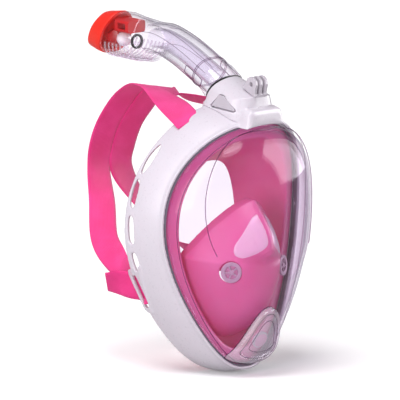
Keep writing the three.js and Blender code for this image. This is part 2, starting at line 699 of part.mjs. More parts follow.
function buildTube() {
  add("snorkel_tube", sweep(oval(TUBE, TUBE.wall), tubeCurve, 12), clear());
  add("inner_duct", sweep(oval(DUCT, DUCT.wall), tubeCurve, 12), clear());
  const ring = new THREE.Shape(ovalPoints(ORING.wide, ORING.high));
  ring.holes.push(new THREE.Path(ovalPoints(ORING.wide - ORING.land, ORING.high - ORING.land)));
  add("socket_oring", straight(ring, alongSocket(GAP), alongSocket(ORING.thick)), black());
  for (const side of [-1, 1]) {
    const tongue = sideSlab(roundedRect(TONGUE.long, TONGUE.high, 1.5), TONGUE.thick);
    tongue.rotateX(TONGUE.tilt).translate(side * (TUBE.wide + TONGUE.out), TONGUE.y, TONGUE.z);
    add(`latch_tongue_${side < 0 ? "right" : "left"}`, tongue, clear());
  }
}

/** A ring of the float chamber: points in x and z at a given y, leaning back at the top. */
function chamberRing(y, wide, high, dz = 0, slant = 0, squareness = SQUARENESS) {
  return ovalPoints(wide, high, squareness).map((p) => {
    const narrow = 1 - CHAMBER.ridge * Math.max(0, p.y / high) ** 1.5;
    return vec(p.x * narrow, y + (slant * p.y) / high, TOP_Z + dz + p.y);
  });
}

/** A slanted ring-shaped piece of the chamber between two stations. */
function chamberSleeve(stations, wall) {
  const outer = stations.map((s) => chamberRing(...s));
  const inner = stations.map(([y, w, h, ...rest]) => chamberRing(y, w - wall, h - wall, ...rest));
  return loft([...outer, ...inner.reverse()], true);
}

function buildChamber() {
  const { wide, high, wall } = CHAMBER;
  const neckEnd = (w) => chamberRing(CHAMBER_START - GAP, wide - 1 - w, high - 1 - w, -0.5, CHAMBER_SLANT);
  const neckFrom = (w) => tubeEnd(1, GAP, TUBE.wide - w, TUBE.high - w);
  const neck = loft([neckFrom(0), neckEnd(0), neckEnd(TUBE.wall), neckFrom(TUBE.wall)], true);
  add("chamber_neck", neck, clear());
  const { radius, bore, thick } = RING_SEAL;
  const seal = solid(disc(radius, thick)).subtract(solid(disc(bore, thick + 2)));
  add("float_ring_seal", geometry(seal).translate(0, RING_SEAL.y, TOP_Z - BALL_DROP), black());
  const body = [
    [CHAMBER_START, wide - 1, high - 1, -0.5, CHAMBER_SLANT],
    [CHAMBER_START + 16, wide, high, -0.5, CHAMBER_SLANT / 3, 0.75],
    [CHAMBER_END - 16, wide, high, 0.5, CAP_SLANT / 2, CAP_SQUARENESS],
    [CHAMBER_END, wide - 1, high - 1, 0.5, CAP_SLANT, CAP_SQUARENESS],
  ];
  let chamber = solid(chamberSleeve(body, wall));
  for (let i = 0; i < VENTS.count; i++) {
    const y = CHAMBER_START + VENTS.first + VENTS.pitch * i;
    const slot = slab(roundedRect(VENTS.wide, VENTS.gap, 1.2), 14).translate(0, y, TOP_Z - high - 1);
    chamber = chamber.subtract(solid(slot));
  }
  add("float_chamber", geometry(chamber), clear());
}

function buildFloat() {
  const box = slab(roundedRect(VALVE_BOX.wide, VALVE_BOX.high, 2), VALVE_BOX.long).rotateX(Math.PI / 2);
  add("valve_box", box.translate(0, VALVE_BOX.y, VALVE_BOX.z), red());
  const axis = TOP_Z - BALL_DROP;
  const ball = new THREE.SphereGeometry(BALL_R, 16, 11).translate(0, BALL_Y, axis);
  add("float_ball", ball, material(0xf6f3f8, 0.3));
  const port = new THREE.CylinderGeometry(FLOAT_PORT.radius, FLOAT_PORT.root, FLOAT_PORT.length, 18);
  add("float_seal", port.translate(0, FLOAT_PORT.y, axis), red());
  [-1, 1].forEach((side, i) => {
    const bar = new THREE.BoxGeometry(GUIDE.thick, GUIDE.length, GUIDE.high);
    bar.translate(side * (BALL_R + 1.5), GUIDE.y, axis - GUIDE.drop);
    add(`float_guide_${i ? "left" : "right"}`, bar, clear());
  });
}

function buildCap() {
  const { wide, high } = CHAMBER;
  const ring = (...station) => chamberRing(...station, CAP_SQUARENESS);
  const outer = [
    ring(TIP, wide - 5, high - 5, 1, CAP_SLANT),
    ring(TIP - 1.5, wide - 3.6, high - 3.6, 1, CAP_SLANT),
    ring(CHAMBER_END + 8, wide - 1.2, high - 1.2, 0.5, CAP_SLANT),
    ring(CHAMBER_END + GAP, wide - 0.6, high - 0.6, 0.5, CAP_SLANT),
  ];
  const inner = [
    ring(CHAMBER_END + GAP, wide - 3.6, high - 3.6, 0.5, CAP_SLANT),
    ring(CHAMBER_END + 8, wide - 4.2, high - 4.2, 0.5, CAP_SLANT),
    ring(TIP - 4, wide - 8, high - 7, 1, CAP_SLANT + 1),
  ];
  add("top_cap", loft([...outer, ...inner]), orange());
}

// ---- head harness -------------------------------------------------------------------------

/** A flat strap through stations, each a point and the direction of its width. */
function ribbon(stations, steps, width = STRAP.width, thick = STRAP.thick) {
  const path = new THREE.CatmullRomCurve3(stations.map(([p]) => vec(...p)), false, "centripetal");
  const spread = new THREE.CatmullRomCurve3(stations.map(([, w]) => vec(...w)), false, "centripetal");
  const rings = [];
  const lanes = [-1, -0.34, 0.34, 1];
  for (let i = 0; i <= steps; i++) {
    const p = path.getPoint(i / steps);
    const tangent = path.getTangent(i / steps);
    const across = spread.getPoint(i / steps);
    across.addScaledVector(tangent, -across.dot(tangent)).setLength(width / 2);
    const out = tangent.clone().cross(across).setLength(thick / 2);
    const corner = (a, b) => p.clone().addScaledVector(across, a).addScaledVector(out, b);
    rings.push([...lanes.map((a) => corner(a, -1)), ...lanes.toReversed().map((a) => corner(a, 1))]);
  }
  return loft(rings);
}

// Each station is a point and the direction of the strap's width there.
const UPPER_STRAP_RIGHT = [
  [[-39, 19.5, 239.5], [0.86, -0.38, 0.45]],
  [[-37, 36, 247], [0.89, -0.15, 0.43]],
  [[-28, 61, 252.8], [0.96, -0.08, 0.2]],
  [[-17, 93, 258.6], [0.98, 0.05, -0.13]],
  [[-13.5, 104, 258.9], [0.98, 0, -0.2]],
  [[-13.4, 107, 258.8], [0.98, 0, -0.2]],
];
const UPPER_STRAP_LEFT = [
  [[39, 19.5, 239.5], [0.86, 0.38, -0.45]],
  [[40, 45, 244], [0.85, 0.2, -0.45]],
  [[32, 78, 244.5], [0.82, 0.22, -0.5]],
  [[21, 93, 247.5], [0.87, 0.15, -0.42]],
  [[13.7, 102, 253.1], [0.98, 0, -0.2]],
  [[13.4, 105.5, 253.4], [0.98, 0, -0.2]],
];
const BACK_PANEL = [
  [[0.2, 110, 256.3], [0.98, 0, -0.2]],
  [[0.5, 122, 255.3], [0.975, 0, -0.21]],
  [[1.5, 137.5, 246.5], [0.975, -0.17, -0.13]],
  [[1.2, 150.5, 233], [0.96, -0.28, -0.05]],
  [[-2, 164, 212.5], [0.97, -0.24, 0.02]],
  [[-3.5, 172, 191], [0.98, -0.17, 0]],
  [[-4, 174.5, 173.5], [0.99, -0.1, 0]],
];
// The last stations take each lower strap through its slot and back out as a loose tail.
const LOWER_STRAP_RIGHT = [
  [[-17.4, 175.9, 171], [0.99, -0.1, 0]],
  [[-17.6, 175, 163], [0.98, -0.15, 0]],
  [[-24, 162, 142], [0.93, -0.35, 0]],
  [[-47, 131, 113], [0.8, -0.5, 0.2]],
  [[-62, 96, 99], [0.4, -0.3, 0.75]],
];
const LOWER_STRAP_LEFT = [
  [[9.6, 173.2, 171], [0.99, -0.1, 0]],
  [[10, 172.5, 163], [1, 0, 0]],
  [[24, 164, 138], [0.95, 0.25, -0.15]],
  [[44, 143, 102], [0.85, 0.4, -0.3]],
  [[61, 104, 86], [0.3, 0.4, -0.8]],
];
const SLOT_LOOP = [
  [[-68.5, 70, 88], [-0.15, 0.1, 0.95]],
  [[-69.5, 55, 80], [-0.3, 0.27, 0.9]],
  [[-72, 44, 77], [-0.33, 0.27, 0.9]],
  [[-77.5, 41.2, 77], [-0.33, 0.27, 0.9]],
  [[-84, 43.8, 78], [-0.33, 0.27, 0.9]],
  [[-87.5, 54, 81], [-0.2, 0.1, 0.9]],
  [[-89.5, 67, 84], [0, -0.4, 0.85]],
  [[-92, 79, 83], [-0.2, -0.65, 0.7]],
];

function buildHarness() {
  add("strap_upper_right", ribbon(UPPER_STRAP_RIGHT, 9), webbing());
  add("strap_upper_left", ribbon(UPPER_STRAP_LEFT, 9), webbing());
  add("strap_back_panel", ribbon(BACK_PANEL, 14, 2 * STRAP.width), webbing());
  const crossed = SLOT_LOOP.map(([p, w]) => [[-p[0], p[1], p[2]], [w[0], -w[1], -w[2]]]);
  add("strap_lower_right", ribbon([...LOWER_STRAP_RIGHT, ...SLOT_LOOP], 30), webbing());
  add("strap_lower_left", ribbon([...LOWER_STRAP_LEFT, ...crossed], 30), webbing());
}

buildFrame();
buildLens();
buildSkirt();
buildCup();
buildChinValve();
buildAdapter();
buildCameraMount();
buildCollar();
buildTube();
buildChamber();
buildFloat();
buildCap();
buildHarness();

export default part;
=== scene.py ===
"""A full face snorkel mask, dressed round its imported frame. Lengths in the code are millimetres in
the frame of the mask standing on its chin; row() turns them into the row frame's metres."""

import math

import bmesh
import bpy
import numpy as np
from mathutils import Matrix, Quaternion, Vector


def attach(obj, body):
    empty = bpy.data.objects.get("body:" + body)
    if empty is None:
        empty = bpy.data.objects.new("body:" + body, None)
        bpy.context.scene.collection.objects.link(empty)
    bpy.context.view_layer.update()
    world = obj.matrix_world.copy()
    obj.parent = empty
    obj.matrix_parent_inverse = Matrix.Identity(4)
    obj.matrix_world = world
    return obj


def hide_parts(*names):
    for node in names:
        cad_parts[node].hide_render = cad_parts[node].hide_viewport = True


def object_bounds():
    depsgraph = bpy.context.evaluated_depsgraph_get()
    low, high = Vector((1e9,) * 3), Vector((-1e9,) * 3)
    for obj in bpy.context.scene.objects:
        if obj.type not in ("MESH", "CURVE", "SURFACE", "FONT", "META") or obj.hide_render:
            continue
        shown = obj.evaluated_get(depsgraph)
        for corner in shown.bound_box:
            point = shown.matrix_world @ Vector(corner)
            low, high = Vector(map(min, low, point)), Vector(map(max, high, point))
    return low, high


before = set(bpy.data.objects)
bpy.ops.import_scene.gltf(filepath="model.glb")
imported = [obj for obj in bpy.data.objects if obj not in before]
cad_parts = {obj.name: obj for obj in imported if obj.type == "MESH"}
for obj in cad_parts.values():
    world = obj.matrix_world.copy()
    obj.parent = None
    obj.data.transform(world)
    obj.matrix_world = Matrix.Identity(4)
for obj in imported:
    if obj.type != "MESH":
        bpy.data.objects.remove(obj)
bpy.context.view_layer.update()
scene = bpy.context.scene

# ---- numbers shared with the part ----

# The row frame's origin, behind the nose inside the mask.
FACE = np.array([0.0, 30.0, 120.0])
SEAM = dict(width=80, low=5, high=242, mid=-30.5, lean=-9.5, wrap=33, taper=(0.25, -0.09))
RIM = dict(width=88, low=0, high=255, mid=15, lean=-5, wrap=35, taper=(0.12, -0.12))
OPENING = dict(width=55, low=24, high=194, mid=38, lean=4, wrap=18, taper=(0.1, -0.1), square=0.55)
WINDOW = dict(width=66, low=86, high=238, mid=0, lean=0, wrap=0, taper=(0.04, -0.06), square=0.62)
LENS_INSET = 2.0
LENS_WALL = 2.4
WINDOW_STEP = 1.8
SOCKET = np.array([0.0, 9.0, 268.5])
SOCKET_TILT = math.radians(40)
SOCKET_AXIS = np.array([0.0, math.cos(SOCKET_TILT), math.sin(SOCKET_TILT)])
TUBE_POINTS = ((0, 21, 276.8), (0, 38, 284.6), (0, 67, 296.6), (0, 95, 304), (0, 110.65, 303.8))
TUBE_WIDE, TUBE_HIGH = 18.9, 15.1
CHAMBER_WIDE, CHAMBER_HIGH = 20.5, 21.5
CHAMBER_RIDGE = 0.35
CHAMBER_START, CHAMBER_SLANT = 121, 8
CHAMBER_END, CAP_SLANT, CAP_POWER = 168, -8, 0.72
TIP = 190
TOP_Z = 301.5
BALL_RADIUS, BALL_Y, BALL_Z = 7.2, 158, TOP_Z - 5
SIDES = (("right", -1), ("left", 1))


def row(points):
    return (np.asarray(points, float) - FACE) * 0.001


def vec(*v):
    return np.array(v, float)


def circle(count):
    """Evenly spaced angles round a full turn."""
    return 2 * np.pi * np.arange(count) / count


def bent(v, power):
    """A cosine or sine with its curve squared up, or pinched, by a power."""
    return np.sign(v) * np.abs(v) ** power


def smoothstep(v):
    v = np.clip(v, 0, 1)
    return v**2 * (3 - 2 * v)


def bezier(a, b, c, d, u):
    """A cubic curve from a to d at the parameters u."""
    a, b, c, d = (np.array(p, float) for p in (a, b, c, d))
    u = np.asarray(u)[:, None]
    return a * (1 - u) ** 3 + 3 * b * u * (1 - u) ** 2 + 3 * c * u**2 * (1 - u) + d * u**3


def unit(v):
    v = np.asarray(v, float)
    return v / np.linalg.norm(v, axis=-1, keepdims=True)


# ---- materials ----


class Nodes:
    """The node tree of a material or world, with short ways to add to it."""

    def __init__(self, owner):
        owner.use_nodes = True
        self.owner = owner
        self.tree = owner.node_tree
        self.tree.nodes.clear()
        self.coordinates = self.add("ShaderNodeTexCoord")

    def add(self, kind, values=None, **settings):
        """A node with its input values and its settings."""
        node = self.tree.nodes.new(kind)
        for key, value in settings.items():
            setattr(node, key, value)
        for key, value in (values or {}).items():
            node.inputs[key].default_value = value
        return node

    def link(self, a, b):
        self.tree.links.new(a, b)

    def noise(self, scale, detail, roughness=0.5):
        values = {"Scale": scale, "Detail": detail, "Roughness": roughness}
        node = self.add("ShaderNodeTexNoise", values)
        self.link(self.coordinates.outputs["Object"], node.inputs["Vector"])
        return node.outputs["Fac"]

    def spread(self, source, low, high):
        """Maps the middle of a noise's range onto low to high."""
        values = {"From Min": 0.3, "From Max": 0.7, "To Min": low, "To Max": high}
        node = self.add("ShaderNodeMapRange", values)
        self.link(source, node.inputs["Value"])
        return node.outputs["Result"]

    def math(self, operation, *values):
        """A sum over sockets and numbers."""
        node = self.add("ShaderNodeMath", operation=operation)
        for value, socket in zip(values, node.inputs):
            if isinstance(value, bpy.types.NodeSocket):
                self.link(value, socket)
            else:
                socket.default_value = value
        return node.outputs[0]

    def tint(self, source, *colours):
        """A colour ramp from the colours, evenly spaced."""
        ramp = self.add("ShaderNodeValToRGB")
        elements = ramp.color_ramp.elements
        while len(elements) < len(colours):
            elements.new(0.5)
        for i, colour in enumerate(colours):
            elements[i].position = i / (len(colours) - 1)
            elements[i].color = (*linear(colour), 1)
        self.link(source, ramp.inputs["Fac"])
        return ramp.outputs["Color"]

    def bump(self, source, strength, distance):
        node = self.add("ShaderNodeBump", {"Strength": strength, "Distance": distance})
        self.link(source, node.inputs["Height"])
        return node.outputs["Normal"]

    def blend(self, a, b, share):
        """The shader a, with a share of b that is a number or a socket."""
        mix = self.add("ShaderNodeMixShader")
        if isinstance(share, float):
            mix.inputs["Fac"].default_value = share
        else:
            self.link(share, mix.inputs["Fac"])
        self.link(a, mix.inputs[1])
        self.link(b, mix.inputs[2])
        return mix.outputs["Shader"]

    def finish(self, shader, output="ShaderNodeOutputMaterial"):
        """Sends a shader to the surface, and returns the material or world."""
        self.link(shader, self.add(output).inputs["Surface"])
        return self.owner


def linear(colour):
    """A hex colour as linear red, green and blue."""
    parts = [int(colour[i : i + 2], 16) / 255 for i in (1, 3, 5)]
    return [p / 12.92 if p <= 0.04045 else ((p + 0.055) / 1.055) ** 2.4 for p in parts]


NEUTRAL_UNDER = (1, 0.5, 0.6)
PINK_UNDER = (1, 0.3, 0.5)
PINK_GLOW = "#FF3F95"


def solid_finish(name, colours, roughness, grain, bump, coat=0.0, under=0.0, pink_glow=None):
    """An opaque plastic, rubber or silicone: a slightly clouded colour over a fine moulded grain.
    under is the share of light that scatters below the surface. Silicone has a pink_glow, the
    share of the light on a thin wall's far side that comes through it."""
    n = Nodes(bpy.data.materials.new(name))
    shader = n.add("ShaderNodeBsdfPrincipled", {
        "Coat Weight": coat,
        "Coat Roughness": 0.12,
        "Subsurface Weight": under,
        "Subsurface Radius": NEUTRAL_UNDER if pink_glow is None else PINK_UNDER,
        "Subsurface Scale": 0.006,
    })
    n.link(n.tint(n.spread(n.noise(18.0, 3.0), 0, 1), *colours), shader.inputs["Base Color"])
    fine = n.noise(grain, 5.0, 0.6)
    n.link(n.spread(fine, roughness * 0.85, roughness * 1.15), shader.inputs["Roughness"])
    n.link(n.bump(fine, bump, 0.0002), shader.inputs["Normal"])
    surface = shader.outputs["BSDF"]
    if pink_glow:
        glow = n.add("ShaderNodeBsdfTranslucent", {"Color": (*linear(PINK_GLOW), 1)})
        surface = n.blend(surface, glow.outputs["BSDF"], pink_glow)
    return n.finish(surface)


PLASTIC_IOR = 1.49


def clear_finish(name, face, edge, roughness, edge_power, veil=0.0, shine=1.0):
    """A clear moulded plastic: light passes straight through it, tinted where it is seen edge on,
    under a gloss that grows at the edges. veil is a milky share that stays everywhere, and shine
    scales the gloss."""
    n = Nodes(bpy.data.materials.new(name))
    facing = n.add("ShaderNodeLayerWeight", {"Blend": 0.5}).outputs["Facing"]
    through = n.add("ShaderNodeBsdfTransparent")
    n.link(n.tint(n.math("POWER", facing, edge_power), face, edge), through.inputs["Color"])
    gloss = n.add("ShaderNodeBsdfGlossy", {"Color": (0.96, 0.95, 0.98, 1)})
    ripple = n.spread(n.noise(60.0, 2.0), roughness * 0.7, roughness * 1.4)
    n.link(ripple, gloss.inputs["Roughness"])
    base = shine * ((PLASTIC_IOR - 1) / (PLASTIC_IOR + 1)) ** 2
    grazing = n.math("POWER", facing, 5)
    share = n.math("MULTIPLY_ADD", grazing, 0.5 * (1 + shine) - base, base)
    surface = n.blend(through.outputs["BSDF"], gloss.outputs["BSDF"], share)
    if veil:
        haze = n.add("ShaderNodeBsdfDiffuse", {"Color": (0.95, 0.93, 0.97, 1)})
        surface = n.blend(surface, haze.outputs["BSDF"], veil)
    return n.finish(surface)


RIB_PITCH, PICK_PITCH = 1.3, 0.9


def webbing_finish(name):
    """Knitted elastic: fine ribs along the strap, crossed by a weave, from the piece's own UVs."""
    n = Nodes(bpy.data.materials.new(name))
    shader = n.add("ShaderNodeBsdfPrincipled", {
        "Sheen Weight": 0.12,
        "Sheen Roughness": 0.5,
        "Sheen Tint": (1, 0.7, 0.85, 1),
    })
    split = n.add("ShaderNodeSeparateXYZ")
    n.link(n.coordinates.outputs["UV"], split.inputs["Vector"])
    ribs = n.math("SINE", n.math("MULTIPLY", split.outputs["X"], 2 * math.pi / RIB_PITCH))
    picks = n.math("SINE", n.math("MULTIPLY", split.outputs["Y"], 2 * math.pi / PICK_PITCH))
    weave = n.math("MULTIPLY_ADD", picks, 0.55, ribs)
    cloud = n.noise(45.0, 4.0)
    both = n.spread(n.math("MULTIPLY_ADD", weave, 0.09, cloud), 0, 1)
    n.link(n.tint(both, "#DE2A7B", "#E43283", "#EB408F"), shader.inputs["Base Color"])
    n.link(n.spread(cloud, 0.62, 0.8), shader.inputs["Roughness"])
    n.link(n.bump(weave, 0.35, 0.00025), shader.inputs["Normal"])
    return n.finish(shader.outputs["BSDF"])


WHITE = solid_finish("white_shell_plastic", ("#CDC5CF", "#D4CCD6"), 0.3, 400, 0.05, 0.35, 0.06)
# The white plastic painted darker: painted shade on the release buttons and the camera mount, which are
# white like the shell.
SHADED = solid_finish("white_plastic_painted_shade", ("#B7AFB9", "#C0B8C2"), 0.35, 400, 0.05, 0.3, 0.04)
SILICONE = solid_finish("pink_silicone", ("#FF74B6", "#FF88C2"), 0.36, 250, 0.06, 0.25, 0.3, 0.22)
# Paler pink for the patches beside the nose: painted highlight on the nose's facets.
NOSE_HIGHLIGHT_PAINT = solid_finish("nose_highlight_paint_silicone", ("#FFBBDA", "#FFCBE3"), 0.3, 250, 0.05, 0.3, 0.3, 0.0)
BLACK = solid_finish("black_rubber", ("#0D0B0F", "#1A171C"), 0.5, 500, 0.15)
SEAL = solid_finish("seam_rubber", ("#5E5664", "#756B7A"), 0.45, 500, 0.1)
GREY = solid_finish("grey_valve_plastic", ("#BE9CB2", "#CBA9BE"), 0.4, 500, 0.1)
RED = solid_finish("red_plastic", ("#C00009", "#D2020E"), 0.5, 400, 0.05)
ORANGE = solid_finish("orange_cap_plastic", ("#E61A00", "#F02400"), 0.5, 400, 0.05)
BALL = solid_finish("white_ball_plastic", ("#F1ECF3", "#F8F5F9"), 0.22, 400, 0.03, 0.5, 0.1)
FLAP = solid_finish("clear_silicone_flap", ("#EE9CC6", "#F3AFD2"), 0.35, 300, 0.05, under=0.3)
LENS = clear_finish("clear_lens", "#F8F3F9", "#D3C9DA", 0.015, 4, shine=0.5)
# Thin clear lines along moulded edges, tinted dark even face on: painted shade for the dark refraction
# edges of the clear plastic.
EDGE_SHADE_LINE = clear_finish("clear_edge_painted_shade", "#C9AFC8", "#5A4A60", 0.03, 2)
TUBE_CLEAR = clear_finish("clear_tube", "#FEFDFF", "#857B8E", 0.025, 5)
CHAMBER_CLEAR = clear_finish("clear_chamber", "#FFFEFF", "#857B8E", 0.02, 6, shine=0.3)
DUCT_CLEAR = clear_finish("clear_duct", "#FCFAFE", "#857B8E", 0.04, 5, veil=0.02)
COVER_CLEAR = clear_finish("clear_cover", "#FAF6FC", "#8C8395", 0.03, 4, veil=0.2)
WEBBING = webbing_finish("pink_webbing")


# ---- making pieces ----


def grid(rings, closed=False):
    """Points and faces of a surface through rings of points. A closed one joins its last ring to
    its first, and an open one is capped at both ends."""
    rings = np.asarray(rings, float)
    n, m = rings.shape[:2]
    faces = []
    for i in range(n if closed else n - 1):
        a, b = i * m, (i + 1) % n * m
        faces += [(a + j, a + (j + 1) % m, b + (j + 1) % m, b + j) for j in range(m)]
    if not closed:
        faces.append(tuple(range(m))[::-1])
        faces.append(tuple((n - 1) * m + j for j in range(m)))
    return rings.reshape(-1, 3), faces


def raw(name, shape, uv=None):
    """An object from points and faces, facing out and smooth, not yet part of anything."""
    points, faces = shape
    mesh = bpy.data.meshes.new(name)
    mesh.from_pydata(row(points).tolist(), [], faces)
    if uv is not None:
        layer = mesh.uv_layers.new(name="UVMap")
        corners = np.zeros(len(mesh.loops), dtype=np.int32)
        mesh.loops.foreach_get("vertex_index", corners)
        layer.data.foreach_set("uv", np.asarray(uv, float)[corners].ravel())
    bm = bmesh.new()
    bm.from_mesh(mesh)
    bmesh.ops.recalc_face_normals(bm, faces=bm.faces)
    if bm.calc_volume(signed=True) < 0:
        bmesh.ops.reverse_faces(bm, faces=bm.faces)
    bm.to_mesh(mesh)
    bm.free()
    mesh.shade_smooth()
    ob = bpy.data.objects.new(name, mesh)
    scene.collection.objects.link(ob)
    return ob


def dress(ob, finish, body, replaced, sharp=None):
    """Gives an object its material, body and the CAD nodes it stands for."""
    ob.data.materials.clear()
    ob.data.materials.append(finish)
    if sharp:
        ob.data.set_sharp_from_angle(angle=math.radians(sharp))
    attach(ob, body)
    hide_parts(*replaced)
    return ob


def piece(name, shape, finish, body, replaced, sharp=40, uv=None):
    return dress(raw(name, shape, uv), finish, body, replaced, sharp)


def bake(ob):
    """Applies an object's modifiers."""
    depsgraph = bpy.context.evaluated_depsgraph_get()
    mesh = bpy.data.meshes.new_from_object(ob.evaluated_get(depsgraph))
    ob.modifiers.clear()
    ob.data = mesh


def combine(ob, shape, how):
    """Joins or cuts an object by a shape."""
    other = raw("helper", shape)
    modifier = ob.modifiers.new(how, "BOOLEAN")
    modifier.operation = how
    modifier.object = other
    modifier.solver = "MANIFOLD"
    bake(ob)
    bpy.data.objects.remove(other)


def join(ob, shape):
    combine(ob, shape, "UNION")


def carve(ob, shape):
    combine(ob, shape, "DIFFERENCE")


def add_rounding(ob, voxel, passes):
    """Modifiers that round every edge a little, as a moulding's are."""
    remesh = ob.modifiers.new("mould", "REMESH")
    remesh.mode = "VOXEL"
    remesh.voxel_size = voxel * 0.001
    remesh.use_smooth_shade = True
    smooth = ob.modifiers.new("round", "SMOOTH")
    smooth.factor = 0.5
    smooth.iterations = passes


def mould(ob, voxel, passes):
    """Rounds an object's edges and keeps the result as its mesh."""
    add_rounding(ob, voxel, passes)
    bake(ob)
    ob.data.shade_smooth()


def soften(node, finish, voxel, passes):
    """Gives a CAD node its material and rounded edges, without changing its mesh."""
    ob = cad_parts[node]
    if not ob.material_slots:
        ob.data.materials.append(finish)
    for slot in ob.material_slots:
        slot.material = finish
    add_rounding(ob, voxel, passes)


def spline(points, count):
    """Points along a centripetal Catmull-Rom curve through the given ones, which may repeat."""
    p = np.asarray(points, float)
    ends = [2 * p[0] - p[1], *p, 2 * p[-1] - p[-2]]
    out = []
    for u in np.linspace(0, len(p) - 1, count):
        i = min(int(u), len(p) - 2)
        w = u - i
        p0, p1, p2, p3 = ends[i : i + 4]
        d0, d1, d2 = (np.linalg.norm(b - a) ** 0.5 for a, b in ((p0, p1), (p1, p2), (p2, p3)))
        d1 = d1 or 1.0
        d0, d2 = d0 or d1, d2 or d1
        t1 = ((p1 - p0) / d0 - (p2 - p0) / (d0 + d1) + (p2 - p1) / d1) * d1
        t2 = ((p2 - p1) / d1 - (p3 - p1) / (d1 + d2) + (p3 - p2) / d2) * d1
        a = 2 * p1 - 2 * p2 + t1 + t2
        b = -3 * p1 + 3 * p2 - 2 * t1 - t2
        out.append(p1 + t1 * w + b * w**2 + a * w**3)
    return np.array(out)


def oval(wide, high, count=96, power=0.85):
    a = circle(count)
    return np.stack([wide * bent(np.cos(a), power), high * bent(np.sin(a), power)], -1)


def section(at, tangent, shape):
    """A flat shape of lateral and upward offsets, set across a tangent in the plane of symmetry."""
    ty, tz = unit(tangent[1:])
    return np.stack([shape[:, 0] + at[0], at[1] - shape[:, 1] * tz, at[2] + shape[:, 1] * ty], -1)


def placed(points, at, axis):
    """Points made about the y axis, turned to an axis and moved to a point."""
    turn = Vector((0, 1, 0)).rotation_difference(Vector(axis)).to_matrix()
    return np.asarray(points) @ np.array(turn).T + at


def turned(profile, at, axis):
    """A closed shape turned about an axis: the profile is radius and height, and is a closed loop."""
    p = np.asarray(profile, float)
    rings = [np.stack([p[:, 0] * math.cos(t), p[:, 1], p[:, 0] * math.sin(t)], -1) for t in circle(64)]
    return grid(placed(np.array(rings), at, axis), closed=True)


def round_ring(radius_in, radius_out, low, high):
    """The profile of a washer with rounded edges."""
    s = 0.5
    out = []
    corners = (
        (radius_out - s, low + s, -90),
        (radius_out - s, high - s, 0),
        (radius_in + s, high - s, 90),
        (radius_in + s, low + s, 180),
    )
    for r, h, start in corners:
        for k in range(5):
            a = math.radians(start + k * 22.5)
            out.append((r + s * math.cos(a), h + s * math.sin(a)))
    return out


# ---- face shapes ----


def loop(shape, t, inset=0.0):
    """Points of a face-shaped loop at the angles t from its top. It is narrowed by its taper,
    leans by its lean, and wraps back at its sides by its wrap."""
    s, c = np.sin(t), np.cos(t)
    taper = 1 + shape["taper"][0] * c + shape["taper"][1] * c * c
    x = (shape["width"] - inset) * bent(s, shape.get("square", 0.85)) * taper
    middle, half = (shape["low"] + shape["high"]) / 2, (shape["high"] - shape["low"]) / 2
    z = middle + (half - inset) * c
    y = shape["mid"] + shape["lean"] * c + shape["wrap"] * (x / shape["width"]) ** 2
    return np.stack([x, y, z], -1)


def around(count):
    """Angles round a loop, with none on the plane of symmetry."""
    return 2 * np.pi * (np.arange(count) + 0.5) / count


def outward(shape, t):
    """Directions away from a loop's middle, across the face."""
    p = loop(shape, t)
    p[..., 1] = 0
    p[..., 2] -= (shape["low"] + shape["high"]) / 2
    return unit(p)


LENS_BULGE = 38


def lens_y(x, z):
    """The y of the lens's outer face: a dome over the seam, flatter and rounder towards the chin."""
    half = (SEAM["high"] - SEAM["low"]) / 2
    v = (z - SEAM["low"] - half) / half
    c = np.clip(v, -0.9999, 0.9999)
    u = np.minimum(1, np.abs(x) / np.abs(loop(SEAM, np.arccos(c))[..., 0]))
    side = np.where(v > 0, 4, 4 + 1.8 * v)
    rise = np.where(v > 0, 4, 2)
    bulge = LENS_BULGE - 8 * np.maximum(0, -v)
    base = SEAM["mid"] + SEAM["lean"] * v + SEAM["wrap"] * (x / SEAM["width"]) ** 2
    across = np.sqrt(np.maximum(0, 1 - u**side))
    along = np.sqrt(np.maximum(0, 1 - np.abs(v) ** rise))
    return base - bulge * across * along


def line_section(radius, side, up):
    """Ten offsets round a thin line, across its side and up directions."""
    return [radius * (math.cos(a) * side + math.sin(a) * up) for a in circle(10)]


def bead(path, radius, normal=(0, 1, 0.1)):
    """A thin round line along a closed path."""
    tangent = unit(np.roll(path, -1, axis=0) - np.roll(path, 1, axis=0))
    side = unit(np.cross(tangent, normal))
    up = np.cross(side, tangent)
    rings = np.array([path + offset for offset in line_section(radius, side, up)])
    return grid(rings.transpose(1, 0, 2), closed=True)


def cord(path, radius):
    """A thin round line along an open path."""
    tangent = unit(np.gradient(path, axis=0))
    side = unit(np.cross(tangent, vec(0.03, 0.04, 1)))
    up = np.cross(side, tangent)
    rings = np.array([path + offset for offset in line_section(radius, side, up)])
    return grid(rings.transpose(1, 0, 2))


# How far out the lens's rings lie: over the window, then on from its edge to the seam.
WINDOW_STOPS = (0.02, 0.2, 0.4, 0.6, 0.75, 0.86, 0.93, 0.965, 0.985, 1)
SIDE_STOPS = (0.02, 0.04, 0.06, 0.08, 0.12, 0.2, 0.3, 0.42, 0.54, 0.66, 0.77, 0.86, 0.93, 0.975, 1)
STEP_SPAN = 0.08


def lens_rings(inset, back):
    t = around(192)
    edge, seam = loop(WINDOW, t, inset), loop(SEAM, t, inset)
    centre = (WINDOW["low"] + WINDOW["high"]) / 2
    shrink = 1 + inset / SEAM["width"]
    outlines = [(edge[:, 0] * k, centre + (edge[:, 2] - centre) * k, 0) for k in WINDOW_STOPS]
    for q in SIDE_STOPS:
        between = edge * (1 - q) + seam * q
        outlines.append((between[:, 0], between[:, 2], q))
    rings = []
    for x, z, q in outlines:
        proud = WINDOW_STEP * (1 - smoothstep(q / STEP_SPAN))
        y = lens_y(x * shrink, SEAM["low"] + (z - SEAM["low"] - inset) * shrink) + back - proud
        rings.append(np.stack([x, y, z], -1))
    return rings


